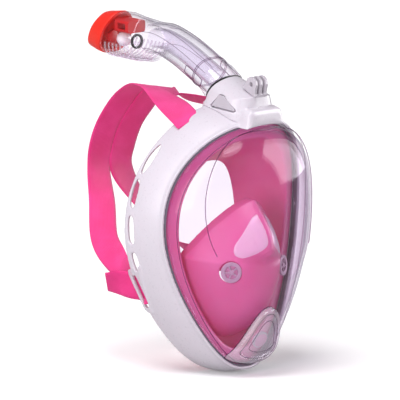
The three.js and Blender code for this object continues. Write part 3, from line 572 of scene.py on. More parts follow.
def build_lens():
    """The lens's wall, its rolled rim, and the window's raised edge, which fades out at the chin."""
    outer = lens_rings(LENS_INSET, 0)
    inner = lens_rings(LENS_INSET + LENS_WALL, LENS_WALL)
    piece("clear_lens_shell", grid(outer + inner[::-1]), LENS, "mask", ["lens"], 60)
    # The rim and the window's edge are thin lines in the dark tint: painted shade for their refraction
    # edges.
    lip = loop(SEAM, around(240), 3.0)
    lip[:, 1] = lens_y(lip[:, 0], lip[:, 2])
    piece("lens_rim_lip", bead(lip, 0.3), EDGE_SHADE_LINE, "mask", ["lens"])
    fade = 2.15
    edge = loop(WINDOW, np.linspace(-fade, fade, 200))
    edge[:, 1] = lens_y(edge[:, 0], edge[:, 2]) - WINDOW_STEP * 0.6
    piece("lens_window_edge", cord(edge, 0.42), EDGE_SHADE_LINE, "mask", ["lens"])


# ---- frame ----

FRAME_WALL = 3.0


def frame_ring(grow, wall, count=200):
    """The frame's band from the seam back to its rim, swollen in the middle, with a thick front lip."""
    t = around(count)
    seam, rim, out = loop(SEAM, t), loop(RIM, t), outward(SEAM, t)

    def skin(offset):
        rows = []
        for f in (0, 0.02, 0.05, 0.1, 0.18, 0.28, 0.4, 0.52, 0.64, 0.76, 0.88, 0.96, 1):
            lip = math.exp(-((f / 0.03) ** 2))
            bulge = 3 * 4 * f * (1 - f) + lip
            p = seam * (1 - f) + rim * f + out * (bulge + offset)
            p[:, 1] -= 2 * lip
            rows.append(p)
        return rows

    rings = np.array(skin(grow + 2) + skin(grow + 2 - wall)[::-1]).transpose(1, 0, 2)
    return grid(rings, closed=True)


def prism(outline, thick, place):
    """A slab of an outline of (y, z) points, thick along x, then put in place by a function."""
    o = np.asarray(outline, float)
    sides = [np.column_stack([np.full(len(o), x), o]) for x in (-thick / 2, thick / 2)]
    return grid([place(s) for s in sides])


def rotate(points, axis, angle):
    m = np.array(Matrix.Rotation(angle, 3, axis))
    return points @ m.T


# Each side opening: y, z, half its width, half its height, its lean, and how square it is.
# The last one is the strap's slot in the ear.
WINDOWS = (
    (29, 206, 4.6, 15.5, 24, 1.75),
    (38.5, 173, 4.3, 14, 9, 2.6),
    (40.5, 138, 4.4, 13.8, -2, 2.8),
    (37.5, 107, 4.1, 9.2, -12, 2.8),
    (41.5, 77, 5, 16, -16, 5.0),
)
RIM_SIDE = 84


def slot_cutter(y, z, half_w, half_h, lean, power, side):
    outline = oval(half_w, half_h, 40, 2 / power)
    turn = lambda p: rotate(p, "X", math.radians(lean)) + vec(side * RIM_SIDE, y, z)
    return prism(outline, 60, turn)


EAR_AT = vec(79, 30, 80)
EAR_THICK = 3.6


def ear(side):
    """The strap's ear, a plate with a round top corner that stands out behind the cheek."""
    u = np.linspace(0, 1, 9)[1:]
    top = bezier((49, 99.5), (56, 99.5), (54.6, 92), (52.6, 84), u)
    low = bezier((46.8, 62), (45, 56), (41, 54), (33, 55), u)
    outline = np.vstack([[(30, 106), (49, 99.5)], top, [(46.8, 62)], low]) - EAR_AT[1:]

    def place(p):
        p = rotate(rotate(p, "Y", 0.36), "Z", 0.17) + EAR_AT
        return p * vec(side, 1, 1)

    return prism(outline, EAR_THICK, place)


# Stations of the brow: y, half width, and the heights of its foot and top.
BOSS = (
    (-53.6, 12, 244, 247),
    (-53.2, 17, 241, 253),
    (-52, 19.5, 239, 255.6),
    (-50, 20.5, 238.5, 257),
    (-44, 20.8, 238, 258.2),
    (-36, 20, 238, 258.8),
    (-28, 18, 238, 259),
    (-20, 15, 238, 259),
)
# The flare of the brow's side from its foot to its top: extra half width, and share of the height.
BOSS_FLARE = ((5.5, 0), (3, 0.12), (1.4, 0.3), (0.6, 0.55), (-0.6, 0.8), (-2.4, 0.94), (-5, 1))


def boss():
    """The moulded brow over the lens that carries the snorkel's block."""
    rings = []
    for y, half, low, top in BOSS:
        left = [(half + out, y, low + (top - low) * k) for out, k in BOSS_FLARE]
        rings.append([(-x, y, z) for x, y, z in left] + left[::-1])
    return grid(rings)


def build_frame():
    """The band with its brow and ears, opened for the lens and the side windows."""
    shell = raw("frame_shell", frame_ring(0, FRAME_WALL))
    join(shell, boss())
    for side in (-1, 1):
        join(shell, ear(side))
    front = loop(SEAM, around(200))
    back = front + vec(0, 12, 0)
    front[:, 1] = -80
    carve(shell, grid([front, back]))
    for side in (-1, 1):
        for window in WINDOWS:
            carve(shell, slot_cutter(*window, side))
    mould(shell, 0.8, 5)
    dress(shell, WHITE, "mask", ["main_frame"])


def seam_ring(inset_a, inset_b, back_a, back_b):
    """A flat ring that follows the seam, between two insets and two depths."""
    t = around(200)
    base_a, base_b = loop(SEAM, t, inset_a), loop(SEAM, t, inset_b)
    rows = []
    for base, back in ((base_a, back_a), (base_a, back_b), (base_b, back_b), (base_b, back_a)):
        p = base.copy()
        p[:, 1] += back
        rows.append(p)
    return grid(np.array(rows).transpose(1, 0, 2), closed=True)


# ---- skirt and cup ----

# Inset from the seam and depth behind it of the skirt's flange, on its front and on its back.
FLANGE_FRONT = ((1, 6), (4, 5.2), (7, 5.6), (11, 6.8), (14, 7.4), (16, 8.6), (16.6, 11))
FLANGE_BACK = ((14.4, 11), (13, 9.4), (8, 8.4), (1, 8))
# The rolled edge of the face opening: outward and backward.
SKIRT_ROLL = ((0, 0), (-0.8, 1.1), (-0.3, 2.2), (0.9, 2.6), (2.0, 1.8), (2.2, 0.4))
SKIRT_SAG = 2.2
SKIRT_WALL = 1.8


def build_skirt():
    """The silicone from its flange at the frame back to the rolled edge of the face opening."""
    t = around(200)
    edge, out = loop(OPENING, t), outward(OPENING, t)

    def ledge(inset, back):
        p = loop(SEAM, t, inset)
        p[:, 1] += back
        return p

    front = [ledge(*f) for f in FLANGE_FRONT]
    back = [ledge(*f) for f in FLANGE_BACK]
    rows = list(front)
    for k in (0.15, 0.3, 0.5, 0.7, 0.85, 0.95):
        sag = SKIRT_SAG * math.sin(math.pi * k)
        rows.append(front[-1] * (1 - k) + edge * k + out * sag)
    rows += [edge + out * away + vec(0, behind, 0) for away, behind in SKIRT_ROLL]
    for k in (0.85, 0.6, 0.35, 0.15):
        sag = SKIRT_SAG * math.sin(math.pi * k) + SKIRT_WALL
        rows.append(back[0] * (1 - k) + edge * k + out * sag)
    rows += back
    shape = grid(np.array(rows).transpose(1, 0, 2), closed=True)
    piece("silicone_skirt", shape, SILICONE, "mask", ["face_skirt"], sharp=80)


CUP = dict(width=53, low=30, middle=100, cheek=112, high=167, ridge=-33, back=5, front=-50, rear=11)


def cup_edge(t):
    """The cup's rear edge: up over the nose between the cheeks, and round the chin below."""
    s, c = np.sin(t), np.cos(t)
    turn = np.arctan2(s, c) / (math.pi / 2)
    low_x = CUP["width"] * bent(s, 0.85) * (1 + 0.2 * c)
    low_z = CUP["cheek"] + (CUP["cheek"] - CUP["low"]) * c
    rise = 1 - np.clip(np.abs(turn), 0, 1) ** 1.5
    high_y = CUP["ridge"] + (CUP["back"] - CUP["ridge"]) * np.abs(turn) ** 1.2
    high_z = CUP["cheek"] + (CUP["high"] - CUP["cheek"]) * rise
    upper = c >= 0
    x = np.where(upper, CUP["width"] * turn, low_x)
    y = np.where(upper, high_y, CUP["back"])
    z = np.where(upper, high_z, low_z)
    return np.stack([x, y, z], -1)


NOSE_REACH = 11.5


def nose(x, z):
    """How far the nose pocket stands forward: flat flanks to a ridge, cut off below the tip."""
    flank = np.maximum(0, 1 - (np.sqrt(x**2 + 6) - 2.4) / 30)
    below = smoothstep((z - 108) / 13)
    fall = np.exp(-((np.maximum(0, z - 130) / 26) ** 2))
    return NOSE_REACH * flank * below * fall


CUP_WALL = 1.8
CUP_STOPS = (0.02, 0.1, 0.18, 0.26, 0.34, 0.42, 0.5, 0.58, 0.66, 0.73, 0.8, 0.86, 0.91, 0.95, 0.98, 1)


def cup_rings(wall):
    """Rings from the cup's front out to its edge, then back to its foot, set in by a wall."""
    edge, middle = cup_edge(around(160)), CUP["middle"]
    rings = []
    for k in CUP_STOPS:
        x, z = edge[:, 0] * k, middle + (edge[:, 2] - middle) * k
        y = CUP["front"] + (edge[:, 1] - CUP["front"]) * k**3 - nose(x, z)
        rings.append(np.stack([x, y, z], -1))
    rear = edge.copy()
    rear[:, 1] += CUP["rear"]
    for k in (0.3, 0.65, 1):
        rings.append(edge * (1 - k) + rear * k)
    rings = np.array(rings)
    rings[..., 0] *= 1 - wall / CUP["width"]
    rings[:-1, :, 1] += wall
    rings[..., 2] += (middle - rings[..., 2]) * (wall / 60)
    return list(rings)


VALVE_AT = vec(32, -38.5, 101)
VALVE_FACING = unit(vec(0.5, -0.86, 0.05))


def cylinder(radius, low, high, at, axis):
    a = circle(48)
    rings = [np.stack([radius * np.cos(a), 0 * a + h, radius * np.sin(a)], -1) for h in (low, high)]
    return grid(placed(np.array(rings), at, axis))


# The paler patch beside the nose, which paints the highlight on the nose's facets, as x and z on the
# mask's right side.
NOSE_HIGHLIGHT_OUTLINE = (
    (-4, 155),
    (-8.5, 152),
    (-20, 136),
    (-27, 124),
    (-27.5, 117),
    (-23, 114.5),
    (-10, 121),
    (-4, 127),
    (-3, 135),
)


def laid_on(ob, outline, side, lift):
    """Rings of a patch laid on an object's front: an outline of x and z, shrunk towards its middle."""
    points = np.array(outline, float) * (-side, 1)
    curve = spline(np.vstack([points, points[:1]])[:, [0, 1, 1]], 72)[:-1, :2]
    middle = curve.mean(axis=0)
    rings = []
    for k, up in zip(np.linspace(1, 0.05, 7), (0, 0.9, 1, 1, 1, 1, 1)):
        ring = []
        for x, z in middle + (curve - middle) * k:
            start = Vector(row((x, -90, z)))
            hit, at, _, _ = ob.ray_cast(start, Vector((0, 1, 0)))
            y = (at[1] * 1000 + FACE[1]) if hit else -40
            ring.append((x, y - lift * up, z))
        rings.append(ring)
    return rings


def build_cup():
    """The cup with its valves' holes, and paler patches beside the nose that paint the highlight on its
    facets.
    """
    cup = raw("silicone_nose_cup", grid(cup_rings(0) + cup_rings(CUP_WALL)[::-1]))
    for _, side in SIDES:
        at, axis = VALVE_AT * vec(side, 1, 1), VALVE_FACING * vec(side, 1, 1)
        carve(cup, cylinder(10.35, -13, 13, at, axis))
    mould(cup, 0.8, 4)
    dress(cup, SILICONE, "mask", ["nose_cup"])
    # Paler patches laid on the cup: painted highlight on the nose's facets.
    for name, side in SIDES:
        front = laid_on(cup, NOSE_HIGHLIGHT_OUTLINE, side, 0.5)
        back = [[(x, y + 1.4, z) for x, y, z in ring] for ring in front]
        shape = grid(front[::-1] + back)
        piece(f"nose_highlight_patch_{name}", shape, NOSE_HIGHLIGHT_PAINT, "mask", ["nose_cup"])
    for name, side in SIDES:
        build_inhale_valve(name, VALVE_AT * vec(side, 1, 1), VALVE_FACING * vec(side, 1, 1))


def build_inhale_valve(name, at, axis):
    """A ring with a hub and five spokes, and the disc that lies behind them."""
    seat = raw(f"valve_seat_{name}", turned(round_ring(6.4, 10, -1.2, 1.2), at, axis))
    join(seat, cylinder(2.3, -1.0, 1.3, at, axis))
    spoke = [[(x, y, z) for x, y in ((0.5, -0.8), (8, -0.8), (8, 0.8), (0.5, 0.8))] for z in (-0.75, 0.75)]
    for a in circle(5) + 0.2:
        ends = [placed(rotate(np.array(end), "Y", a), at, axis) for end in spoke]
        join(seat, grid(ends))
    mould(seat, 0.25, 2)
    dress(seat, GREY, "mask", [f"inhale_valve_seat_{name}"])
    profile = [(0.01, -2.4), (6, -2.4), (7.5, -2.1), (7.5, -1.75), (6, -1.6), (0.01, -1.6)]
    flap, node = turned(profile, at, axis), f"inhale_flap_{name}"
    piece(f"valve_flap_{name}", flap, FLAP, node, [node])


# ---- straps ----

# Each station of a strap is a point on its middle and the direction of its width there.
# The upper straps start outside the frame's shoulders, beside their slots.
UPPER_RIGHT = [
    ((-46.5, 6, 241.5), (0.84, -0.3, 0.45)),
    ((-43.5, 18, 245.5), (0.86, -0.22, 0.45)),
    ((-37, 36, 249), (0.89, -0.15, 0.43)),
    ((-28, 61, 253), (0.96, -0.08, 0.2)),
    ((-17, 93, 258.6), (0.98, 0.05, -0.13)),
]
UPPER_LEFT = [
    ((46.5, 6, 241.5), (0.84, 0.3, -0.45)),
    ((43.5, 18, 244.5), (0.86, 0.25, -0.45)),
    ((40, 45, 244), (0.85, 0.2, -0.45)),
    ((32, 78, 244.5), (0.82, 0.22, -0.5)),
    ((21, 98, 247.5), (0.87, 0.15, -0.42)),
]
# The middle of the back band, where the two long webbings lie side by side.
BACK = [
    ((0, 108, 256.3), (0.98, 0, -0.2)),
    ((0.5, 122, 255.3), (0.975, 0, -0.21)),
    ((1.5, 137.5, 246.5), (0.975, -0.17, -0.13)),
    ((1.2, 150.5, 233), (0.96, -0.28, -0.05)),
    ((-2, 164, 212.5), (0.97, -0.24, 0.02)),
    ((-3.5, 172, 191), (0.98, -0.17, 0)),
    ((-4, 174.5, 172), (0.99, -0.1, 0)),
]
LOWER_RIGHT = [
    ((-24, 162, 142), (0.93, -0.35, 0)),
    ((-47, 131, 113), (0.8, -0.5, 0.2)),
    ((-62, 96, 99), (0.4, -0.3, 0.75)),
]
LOWER_LEFT = [
    ((24, 164, 138), (0.95, 0.25, -0.15)),
    ((44, 143, 102), (0.85, 0.4, -0.3)),
    ((61, 104, 86), (0.3, 0.4, -0.8)),
]
# Each lower strap turns back on itself behind its slot, and its loose tail shows past the ear.
SLOT_LOOP = [
    ((-66.5, 70, 88), (-0.15, 0.1, 0.95)),
    ((-67.5, 55, 80), (-0.3, 0.27, 0.9)),
    ((-69, 46, 77), (-0.33, 0.27, 0.9)),
    ((-71, 41.5, 77), (-0.33, 0.27, 0.9)),
    ((-72, 46, 77.5), (-0.33, 0.27, 0.9)),
    ((-72.5, 55, 79), (-0.25, 0.2, 0.9)),
    ((-79, 67, 82), (0, -0.4, 0.85)),
    ((-88, 79, 82.5), (-0.2, -0.65, 0.7)),
]


STRAP_WIDTH, STRAP_THICK, STRAP_STEPS = 26, 1.7, 300
# How far each long webbing's middle lies from the back band's.
LANE = 12.7


def strap(name, stations, nodes):
    """A webbing through its stations, with its length and width in millimetres as its UVs."""
    path = spline([p for p, _ in stations], STRAP_STEPS)
    spread = spline([w for _, w in stations], STRAP_STEPS)
    tangent = unit(np.gradient(path, axis=0))
    across = unit(spread - tangent * np.sum(spread * tangent, 1, keepdims=True))
    out = np.cross(tangent, across)
    lanes = np.linspace(-1, 1, 13)
    half = np.sqrt(np.clip(1 - np.abs(lanes) ** 16, 0, 1)) * 0.5 + 0.02
    flat = np.stack([lanes * STRAP_WIDTH / 2, half * STRAP_THICK], -1)
    outline = np.vstack([flat, flat[::-1] * (1, -1)])
    length = np.concatenate([[0], np.cumsum(np.linalg.norm(np.diff(path, axis=0), axis=1))])
    rings = np.array([path + across * a + out * h for a, h in outline]).transpose(1, 0, 2)
    uv = [(a, so_far) for so_far in length for a in outline[:, 0]]
    ob = piece(name, grid(rings), WEBBING, "mask", nodes, 70, uv)


def build_harness():
    """Two long webbings that lie side by side in the back band. Their loose tails are alike."""

    def lane(side):
        return [(tuple(vec(*p) + side * LANE * unit(vec(*w))), w) for p, w in BACK]

    crossed = [((-x, y, z), (a, -b, -c)) for (x, y, z), (a, b, c) in SLOT_LOOP]
    right = UPPER_RIGHT + lane(-1) + LOWER_RIGHT + SLOT_LOOP
    left = UPPER_LEFT + lane(1) + LOWER_LEFT + crossed
    strap("webbing_right", right, ["strap_upper_right", "strap_back_panel", "strap_lower_right"])
    strap("webbing_left", left, ["strap_upper_left", "strap_lower_left"])


# ---- adapter and snorkel ----

# Rings of the block from its foot to the socket: y, z, tilt, half width, half length, squareness.
BLOCK = (
    (-11.5, 243, 0, 25, 32.5, 0.45),
    (-11.5, 252, 0, 25.5, 33, 0.45),
    (-10, 262, 10, 23.5, 33, 0.5),
    (SOCKET[1], SOCKET[2], 50, 20, 17.4, 0.85),
)
BLOCK_TAPER = 0.25
# The release button's outline, and the moulded line below it, as y and z.
BUTTON = (
    (1.6, 256.4),
    (0.6, 255.6),
    (-31, 254.4),
    (-32, 255.2),
    (-31.4, 256.6),
    (-16, 266.9),
    (-10, 267.4),
    (-8.4, 266.8),
)
BUTTON_MIDDLE = vec(-15.5, 261.5)
BUTTON_LINE = ((-31.5, 253.2), (1.4, 254.4), (1.4, 256), (-31.5, 255))


def tilted_ring(y, z, tilt, wide, long, power):
    a, tilt = circle(96), math.radians(tilt)
    along = long * bent(np.sin(a), power)
    wide = wide * (1 - BLOCK_TAPER * np.maximum(0, along / long) ** 3)
    x = wide * bent(np.cos(a), power)
    return np.stack([x, y - along * math.cos(tilt), z + along * math.sin(tilt)], -1)


def on_socket(wide, high, low, top):
    """Two ovals across the socket's axis, at two distances from the socket's mouth."""
    return [section(SOCKET + SOCKET_AXIS * d, SOCKET_AXIS, oval(wide, high)) for d in (low, top)]


def side_slab(outline, thick, x):
    return prism(outline, thick, lambda p: p + vec(x, 0, 0))


def button_outline(scale):
    return (np.array(BUTTON) - BUTTON_MIDDLE) * scale + BUTTON_MIDDLE


def build_adapter():
    """The block, cut by its socket, the frame below it and the buttons' pockets."""
    block = raw("adapter_shell", grid([tilted_ring(*r) for r in BLOCK]))
    carve(block, grid(on_socket(14.65, 9.35, -6, 5)))
    carve(block, frame_ring(0.35, 60, 120))
    for _, side in SIDES:
        carve(block, side_slab(button_outline(1.07), 11.8, side * 24.1))
        carve(block, side_slab(BUTTON_LINE, 6, side * 23.5))
    mould(block, 0.5, 4)
    dress(block, WHITE, "mask", ["adapter_block"])
    for name, side in SIDES:
        button = raw(f"button_{name}", side_slab(button_outline(1.0), 2.6, side * 21.5))
        mould(button, 0.25, 3)
        node = f"release_button_{name}"
        # The buttons take the white plastic with painted shade.
        dress(button, SHADED, node, [node])


LAND_STEP = 0.5
RIDGED_POINTS = 288


def tube_outline():
    """The tube's oval with two moulded lands along each side, each raised by a step."""
    shape = oval(TUBE_WIDE, TUBE_HIGH, RIDGED_POINTS)
    side = np.abs((np.degrees(circle(RIDGED_POINTS)) + 90) % 360 - 180)
    raised = np.zeros(RIDGED_POINTS)
    for start, end in ((28, 62), (100, 128)):
        raised += np.clip((side - start) / 1.5, 0, 1) * np.clip((end - side) / 1.5, 0, 1)
    return shape + unit(shape) * (raised * LAND_STEP)[:, None]


def tube_shell(outside, inside):
    path = spline(TUBE_POINTS, 60)
    tangent = np.gradient(path, axis=0)
    outer = [section(p, t, outside) for p, t in zip(path, tangent)]
    inner = [section(p, t, inside) for p, t in zip(path, tangent)]
    return grid(outer + inner[::-1], closed=True)


def build_tube():
    """The tube with the edges of its lands, and the duct inside it."""
    wall, duct_wide, duct_high, duct_wall = 1.3, 10.5, 9.5, 1.2
    bore = oval(TUBE_WIDE - wall, TUBE_HIGH - wall, RIDGED_POINTS)
    tube = tube_shell(tube_outline(), bore)
    piece("clear_snorkel_tube", tube, TUBE_CLEAR, "snorkel", ["snorkel_tube"], 60)
    bore = oval(duct_wide - duct_wall, duct_high - duct_wall, RIDGED_POINTS)
    duct = tube_shell(oval(duct_wide, duct_high, RIDGED_POINTS), bore)
    piece("clear_inner_duct", duct, DUCT_CLEAR, "snorkel", ["inner_duct"], 60)
    centre = spline(TUBE_POINTS, 80)
    along = np.gradient(centre, axis=0)
    # Dark lines along the lands' edges: painted shade for the tube's refraction edges.
    for i, turn in enumerate((28, 62, 118, 152, 208, 332)):
        spot = tube_outline()[round(turn / 360 * RIDGED_POINTS)][None]
        line = np.array([section(p, t, spot)[0] for p, t in zip(centre, along)])
        piece(f"tube_line_{i}", cord(line, 0.24), EDGE_SHADE_LINE, "snorkel", ["snorkel_tube"])


COLLAR_WIDE, COLLAR_HIGH, COLLAR_MOUTH = 20, 16.2, 17.2
COLLAR_WALL = 2.6
FIT_GAP = 0.35


def build_collar():
    """The tube's collar with its plate and hollow spigot, the O-ring, and the latch tongues."""
    path = spline(TUBE_POINTS, 200)
    tangent = unit(path[1] - path[0])
    start = path[0] - tangent * FIT_GAP

    def sleeve(inset):
        wide = COLLAR_WIDE - inset
        a = section(SOCKET + SOCKET_AXIS * 2.6, SOCKET_AXIS, oval(wide, COLLAR_MOUTH - inset))
        b = section(start, tangent, oval(wide, COLLAR_HIGH - inset))
        return [a * (1 - k) + b * k for k in (0, 0.08, 0.3, 0.6, 0.9, 1)]

    collar = raw("clear_collar", grid(sleeve(0) + sleeve(COLLAR_WALL)[::-1], closed=True))
    join(collar, grid(on_socket(18.4, 15.8, 2.8, 4.4)))
    join(collar, grid(on_socket(14.3, 9, -5, 4)))
    carve(collar, grid(on_socket(12.5, 7.2, -6, 6)))
    dress(collar, TUBE_CLEAR, "snorkel", ["tube_collar"], 35)
    ring = []
    for a in circle(16):
        at = SOCKET + SOCKET_AXIS * (1.3 + math.sin(a))
        grow = 1.3 * math.cos(a)
        ring.append(section(at, SOCKET_AXIS, oval(18.3 + grow, 15.6 + grow)))
    o_ring = grid(ring, closed=True)
    piece("joint_o_ring", o_ring, BLACK, "snorkel", ["socket_oring"])
    centre = spline(TUBE_POINTS, 80)
    along = np.gradient(centre, axis=0)
    # Dark lines round the collar: painted shade for its refraction edges.
    for i in (12, 14):
        line = bead(section(centre[i], along[i], oval(19.3, 15.6)), 0.35)
        piece(f"collar_line_{i}", line, EDGE_SHADE_LINE, "snorkel", ["tube_collar"])
    for name, side in SIDES:
        node = f"latch_tongue_{name}"
        soften(node, COVER_CLEAR, 0.3, 2)
        # The tongue's rim is a dark line of painted shade.
        rim = np.insert(oval(13, 4, 64, 0.3), 0, 0, axis=1)
        line = bead(rotate(rim, "X", 0.47) + vec(side * 22.2, 29.5, 280.7), 0.4, vec(1, 0, 0))
        piece(f"tongue_rim_{name}", line, EDGE_SHADE_LINE, "snorkel", [node])


CHAMBER_WALL = 1.8


def chamber_ring(y, wide, high, lift, slant, power=0.85):
    """The chamber's outline at y: an oval that narrows towards its top, leaning by its slant."""
    o = oval(wide, high, power=power)
    up = o[:, 1] / high
    narrow = 1 - CHAMBER_RIDGE * np.clip(up, 0, 1) ** 1.5
    return np.stack([o[:, 0] * narrow, y + slant * up, TOP_Z + lift + o[:, 1]], -1)


def between(stations, count):
    """Rows worked out evenly between the given ones."""
    table = np.array(stations, float)
    u = np.linspace(0, len(table) - 1, count)
    return np.stack([np.interp(u, range(len(table)), column) for column in table.T], -1)


def slab(outline, z_low, z_high):
    """A slab of an outline of x and y, between two heights."""
    return grid([np.insert(np.array(outline, float), 2, z, axis=1) for z in (z_low, z_high)])


def build_neck():
    """The end of the tube, flaring to the chamber's mouth."""
    path = spline(TUBE_POINTS, 200)
    tangent = unit(path[-1] - path[-2])
    end = path[-1] + tangent * FIT_GAP

    def skin(inset):
        wide, high = CHAMBER_WIDE - 1 - inset, CHAMBER_HIGH - 1 - inset
        a = section(end, tangent, oval(19.3 - inset, 15.5 - inset))
        b = chamber_ring(CHAMBER_START - FIT_GAP, wide, high, -0.5, CHAMBER_SLANT)
        return [a * (1 - k) + b * k for k in (0, 0.2, 0.5, 0.8, 1)]

    neck = grid(skin(0) + skin(CHAMBER_WALL)[::-1], closed=True)
    piece("clear_neck", neck, TUBE_CLEAR, "snorkel", ["chamber_neck"])


def build_chamber():
    """The clear chamber with its drain vents below and its moulded ribs."""
    wide, high = CHAMBER_WIDE, CHAMBER_HIGH
    stations = (
        (CHAMBER_START, wide - 1, high - 1, -0.5, CHAMBER_SLANT, 0.85),
        (CHAMBER_START + 16, wide, high, -0.5, CHAMBER_SLANT / 3, 0.75),
        (CHAMBER_END - 16, wide, high, 0.5, CAP_SLANT / 2, CAP_POWER),
        (CHAMBER_END, wide - 1, high - 1, 0.5, CAP_SLANT, CAP_POWER),
    )
    fine = between(stations, 21)
    outer = [chamber_ring(*s) for s in fine]
    inner = [chamber_ring(*s) for s in fine - (0, CHAMBER_WALL, CHAMBER_WALL, 0, 0, 0)]
    chamber = raw("clear_chamber", grid(outer + inner[::-1], closed=True))
    vent = vec((-10, -1.3), (10, -1.3), (11, 0), (10, 1.3), (-10, 1.3), (-11, 0))
    for i in range(5):
        carve(chamber, slab(vent + (0, CHAMBER_START + 12 + 7 * i), 270, 286))
    dress(chamber, CHAMBER_CLEAR, "snorkel", ["float_chamber"], 35)
    shape = oval(wide - 0.4, high - 0.2, 64, 0.75)
    x, drop = shape[shape[:, 1] < -4].T
    for i, y in enumerate(np.linspace(CHAMBER_START + 6, CHAMBER_END - 2, 8)):
        rib = cord(np.stack([x, y - 0.25 * (drop + 20), TOP_Z - 0.3 + drop], -1), 0.8)
        piece(f"chamber_rib_{i}", rib, COVER_CLEAR, "snorkel", ["float_chamber"])


def build_valve():
    """What closes the snorkel under water: the ball, its seals and guides, and the red valve box."""
    ahead = vec(0, 1, 0)
    ring = turned(round_ring(5.0, 7.2, -1.1, 1.1), vec(0, 139, BALL_Z), ahead)
    piece("float_ring_seal_round", ring, BLACK, "snorkel", ["float_ring_seal"])
    box_z, outline = 310.5, oval(11, 6, 48, 0.35)
    ends = [np.insert(outline, 1, y, axis=1) + vec(0, 0, box_z) for y in (139.5, 159.5)]
    box = raw("red_valve_box", grid(ends))
    window = slab(((-12, 144), (12, 144), (12, 155), (-12, 155)), box_z - 3, box_z + 3)
    carve(box, window)
    mould(box, 0.3, 3)
    dress(box, RED, "snorkel", ["valve_box"])
    bpy.ops.mesh.primitive_uv_sphere_add(segments=48, ring_count=32, radius=BALL_RADIUS * 0.001)
    ball = bpy.context.active_object
    ball.name = "float_ball_round"
    ball.data.transform(Matrix.Translation(row((0, BALL_Y, BALL_Z))))
    ball.data.shade_smooth()
    dress(ball, BALL, "float_ball", ["float_ball"])
    profile = ((0.01, 172.2), (5, 172.2), (6.2, 173), (6.5, 175.5), (6.0, 176.8), (0.01, 176.8))
    seal = turned(profile, vec(0, 0, BALL_Z), ahead)
    piece("red_float_seal", seal, RED, "snorkel", ["float_seal"])
    for name, _ in SIDES:
        soften(f"float_guide_{name}", DUCT_CLEAR, 0.3, 2)


# The cap's rings, from the middle of its tip round its outside and back up its inside: y, how far
# it is inside the chamber's width and height, its lift and its slant.
CAP = (
    (TIP + 0.1, 18.5, 19.5, 1, 2 * CAP_SLANT / CHAMBER_WIDE),
    (TIP + 0.1, 6.2, 6.2, 1, CAP_SLANT),
    (TIP - 0.1, 5.2, 5.2, 1, CAP_SLANT),
    (TIP - 0.5, 4.5, 4.5, 1, CAP_SLANT),
    (TIP - 1.2, 3.9, 3.9, 1, CAP_SLANT),
    (TIP - 3, 3.3, 3.3, 0.9, CAP_SLANT),
    (CHAMBER_END + 8, 1.3, 1.3, 0.5, CAP_SLANT),
    (CHAMBER_END + 1.2, 0.4, 0.4, 0.5, CAP_SLANT),
    (CHAMBER_END + FIT_GAP, 0.9, 0.9, 0.5, CAP_SLANT),
    (CHAMBER_END + FIT_GAP, 3.6, 3.6, 0.5, CAP_SLANT),
    (CHAMBER_END + 8, 4.2, 4.2, 0.5, CAP_SLANT),
    (TIP - 4, 8, 7, 1, CAP_SLANT + 1),
)


def build_cap():
    rings = []
    for y, narrower, lower, lift, slant in CAP:
        wide, high = CHAMBER_WIDE - narrower, CHAMBER_HIGH - lower
        rings.append(chamber_ring(y, wide, high, lift, slant, CAP_POWER))
    piece("orange_cap", grid(rings), ORANGE, "snorkel", ["top_cap"], 50)


# ---- chin valve ----

CHIN_VALVE_Z = 33.0


def build_chin_valve():
    """The drain and exhale valve's seat and disc, square to the lens."""
    z, d = CHIN_VALVE_Z, 3.0
    slope = (lens_y(0.0, z + d) - lens_y(0.0, z - d)) / (2 * d)
    at, axis = vec(0, lens_y(0.0, z), z), unit(vec(0, -1, slope))
    soften("chin_valve_seat", WHITE, 0.3, 2)
    flap = turned([(0.01, 0.1), (6, 0.1), (6.9, 0.3), (6.9, 0.7), (6, 0.9), (0.01, 0.9)], at, axis)
    piece("chin_flap_disc", flap, FLAP, "chin_valve_flap", ["chin_valve_flap"])


COVER_HALF, COVER_LONG, COVER_Z = 26.0, 58.0, 37.5
# Rings of the cover from its middle out: share of the outline, and height over the lens.
COVER_FRONT = (
    *((0.03, 6.4), (0.3, 6.2), (0.5, 5.8), (0.55, 5.2), (0.6, 3.2), (0.66, 2.6), (0.74, 2.8)),
    *((0.79, 4.6), (0.83, 6.2), (0.88, 7.0), (0.93, 6.8), (0.97, 5.6), (1.0, 3.2), (1.02, 0.4)),
)
COVER_BACK = ((0.96, 0.4), (0.9, 3.4), (0.82, 3.2), (0.74, 1.2), (0.6, 1.2), (0.5, 3.6), (0.03, 4.2))
# Beads on the cover, dark lines of painted shade along its edges and facets: name, share of the outline,
# height over the lens, radius.
COVER_BEADS = (
    ("cover_foot", 1.03, 0.3, 0.45),
    ("cover_rim_line", 0.8, 5.0, 0.3),
    ("cover_facet_line", 0.56, 5.2, 0.3),
)


def teardrop():
    """The chin cover's outline, as lateral offset and height, from its point round to its point."""
    half, length = COVER_HALF, COVER_LONG
    u = np.linspace(0, 1, 25)[:-1]
    top, side, low = (0, length / 2), (half, -length * 0.29), (0, -length / 2)
    right = bezier(top, (half * 0.55, length / 2), (half * 0.78, -length * 0.02), side, u)
    under = bezier(side, (half * 1.12, -length * 0.42), (half * 0.5, -length / 2), low, u)
    one_side = np.vstack([right, under])
    return np.vstack([one_side, [low], one_side[:0:-1] * (-1, 1)])


def cover_ring(k, height):
    outline = teardrop()
    x, z = outline[:, 0] * k, COVER_Z + outline[:, 1] * k * 0.97
    return np.stack([x, lens_y(x, z) - height, z], -1)


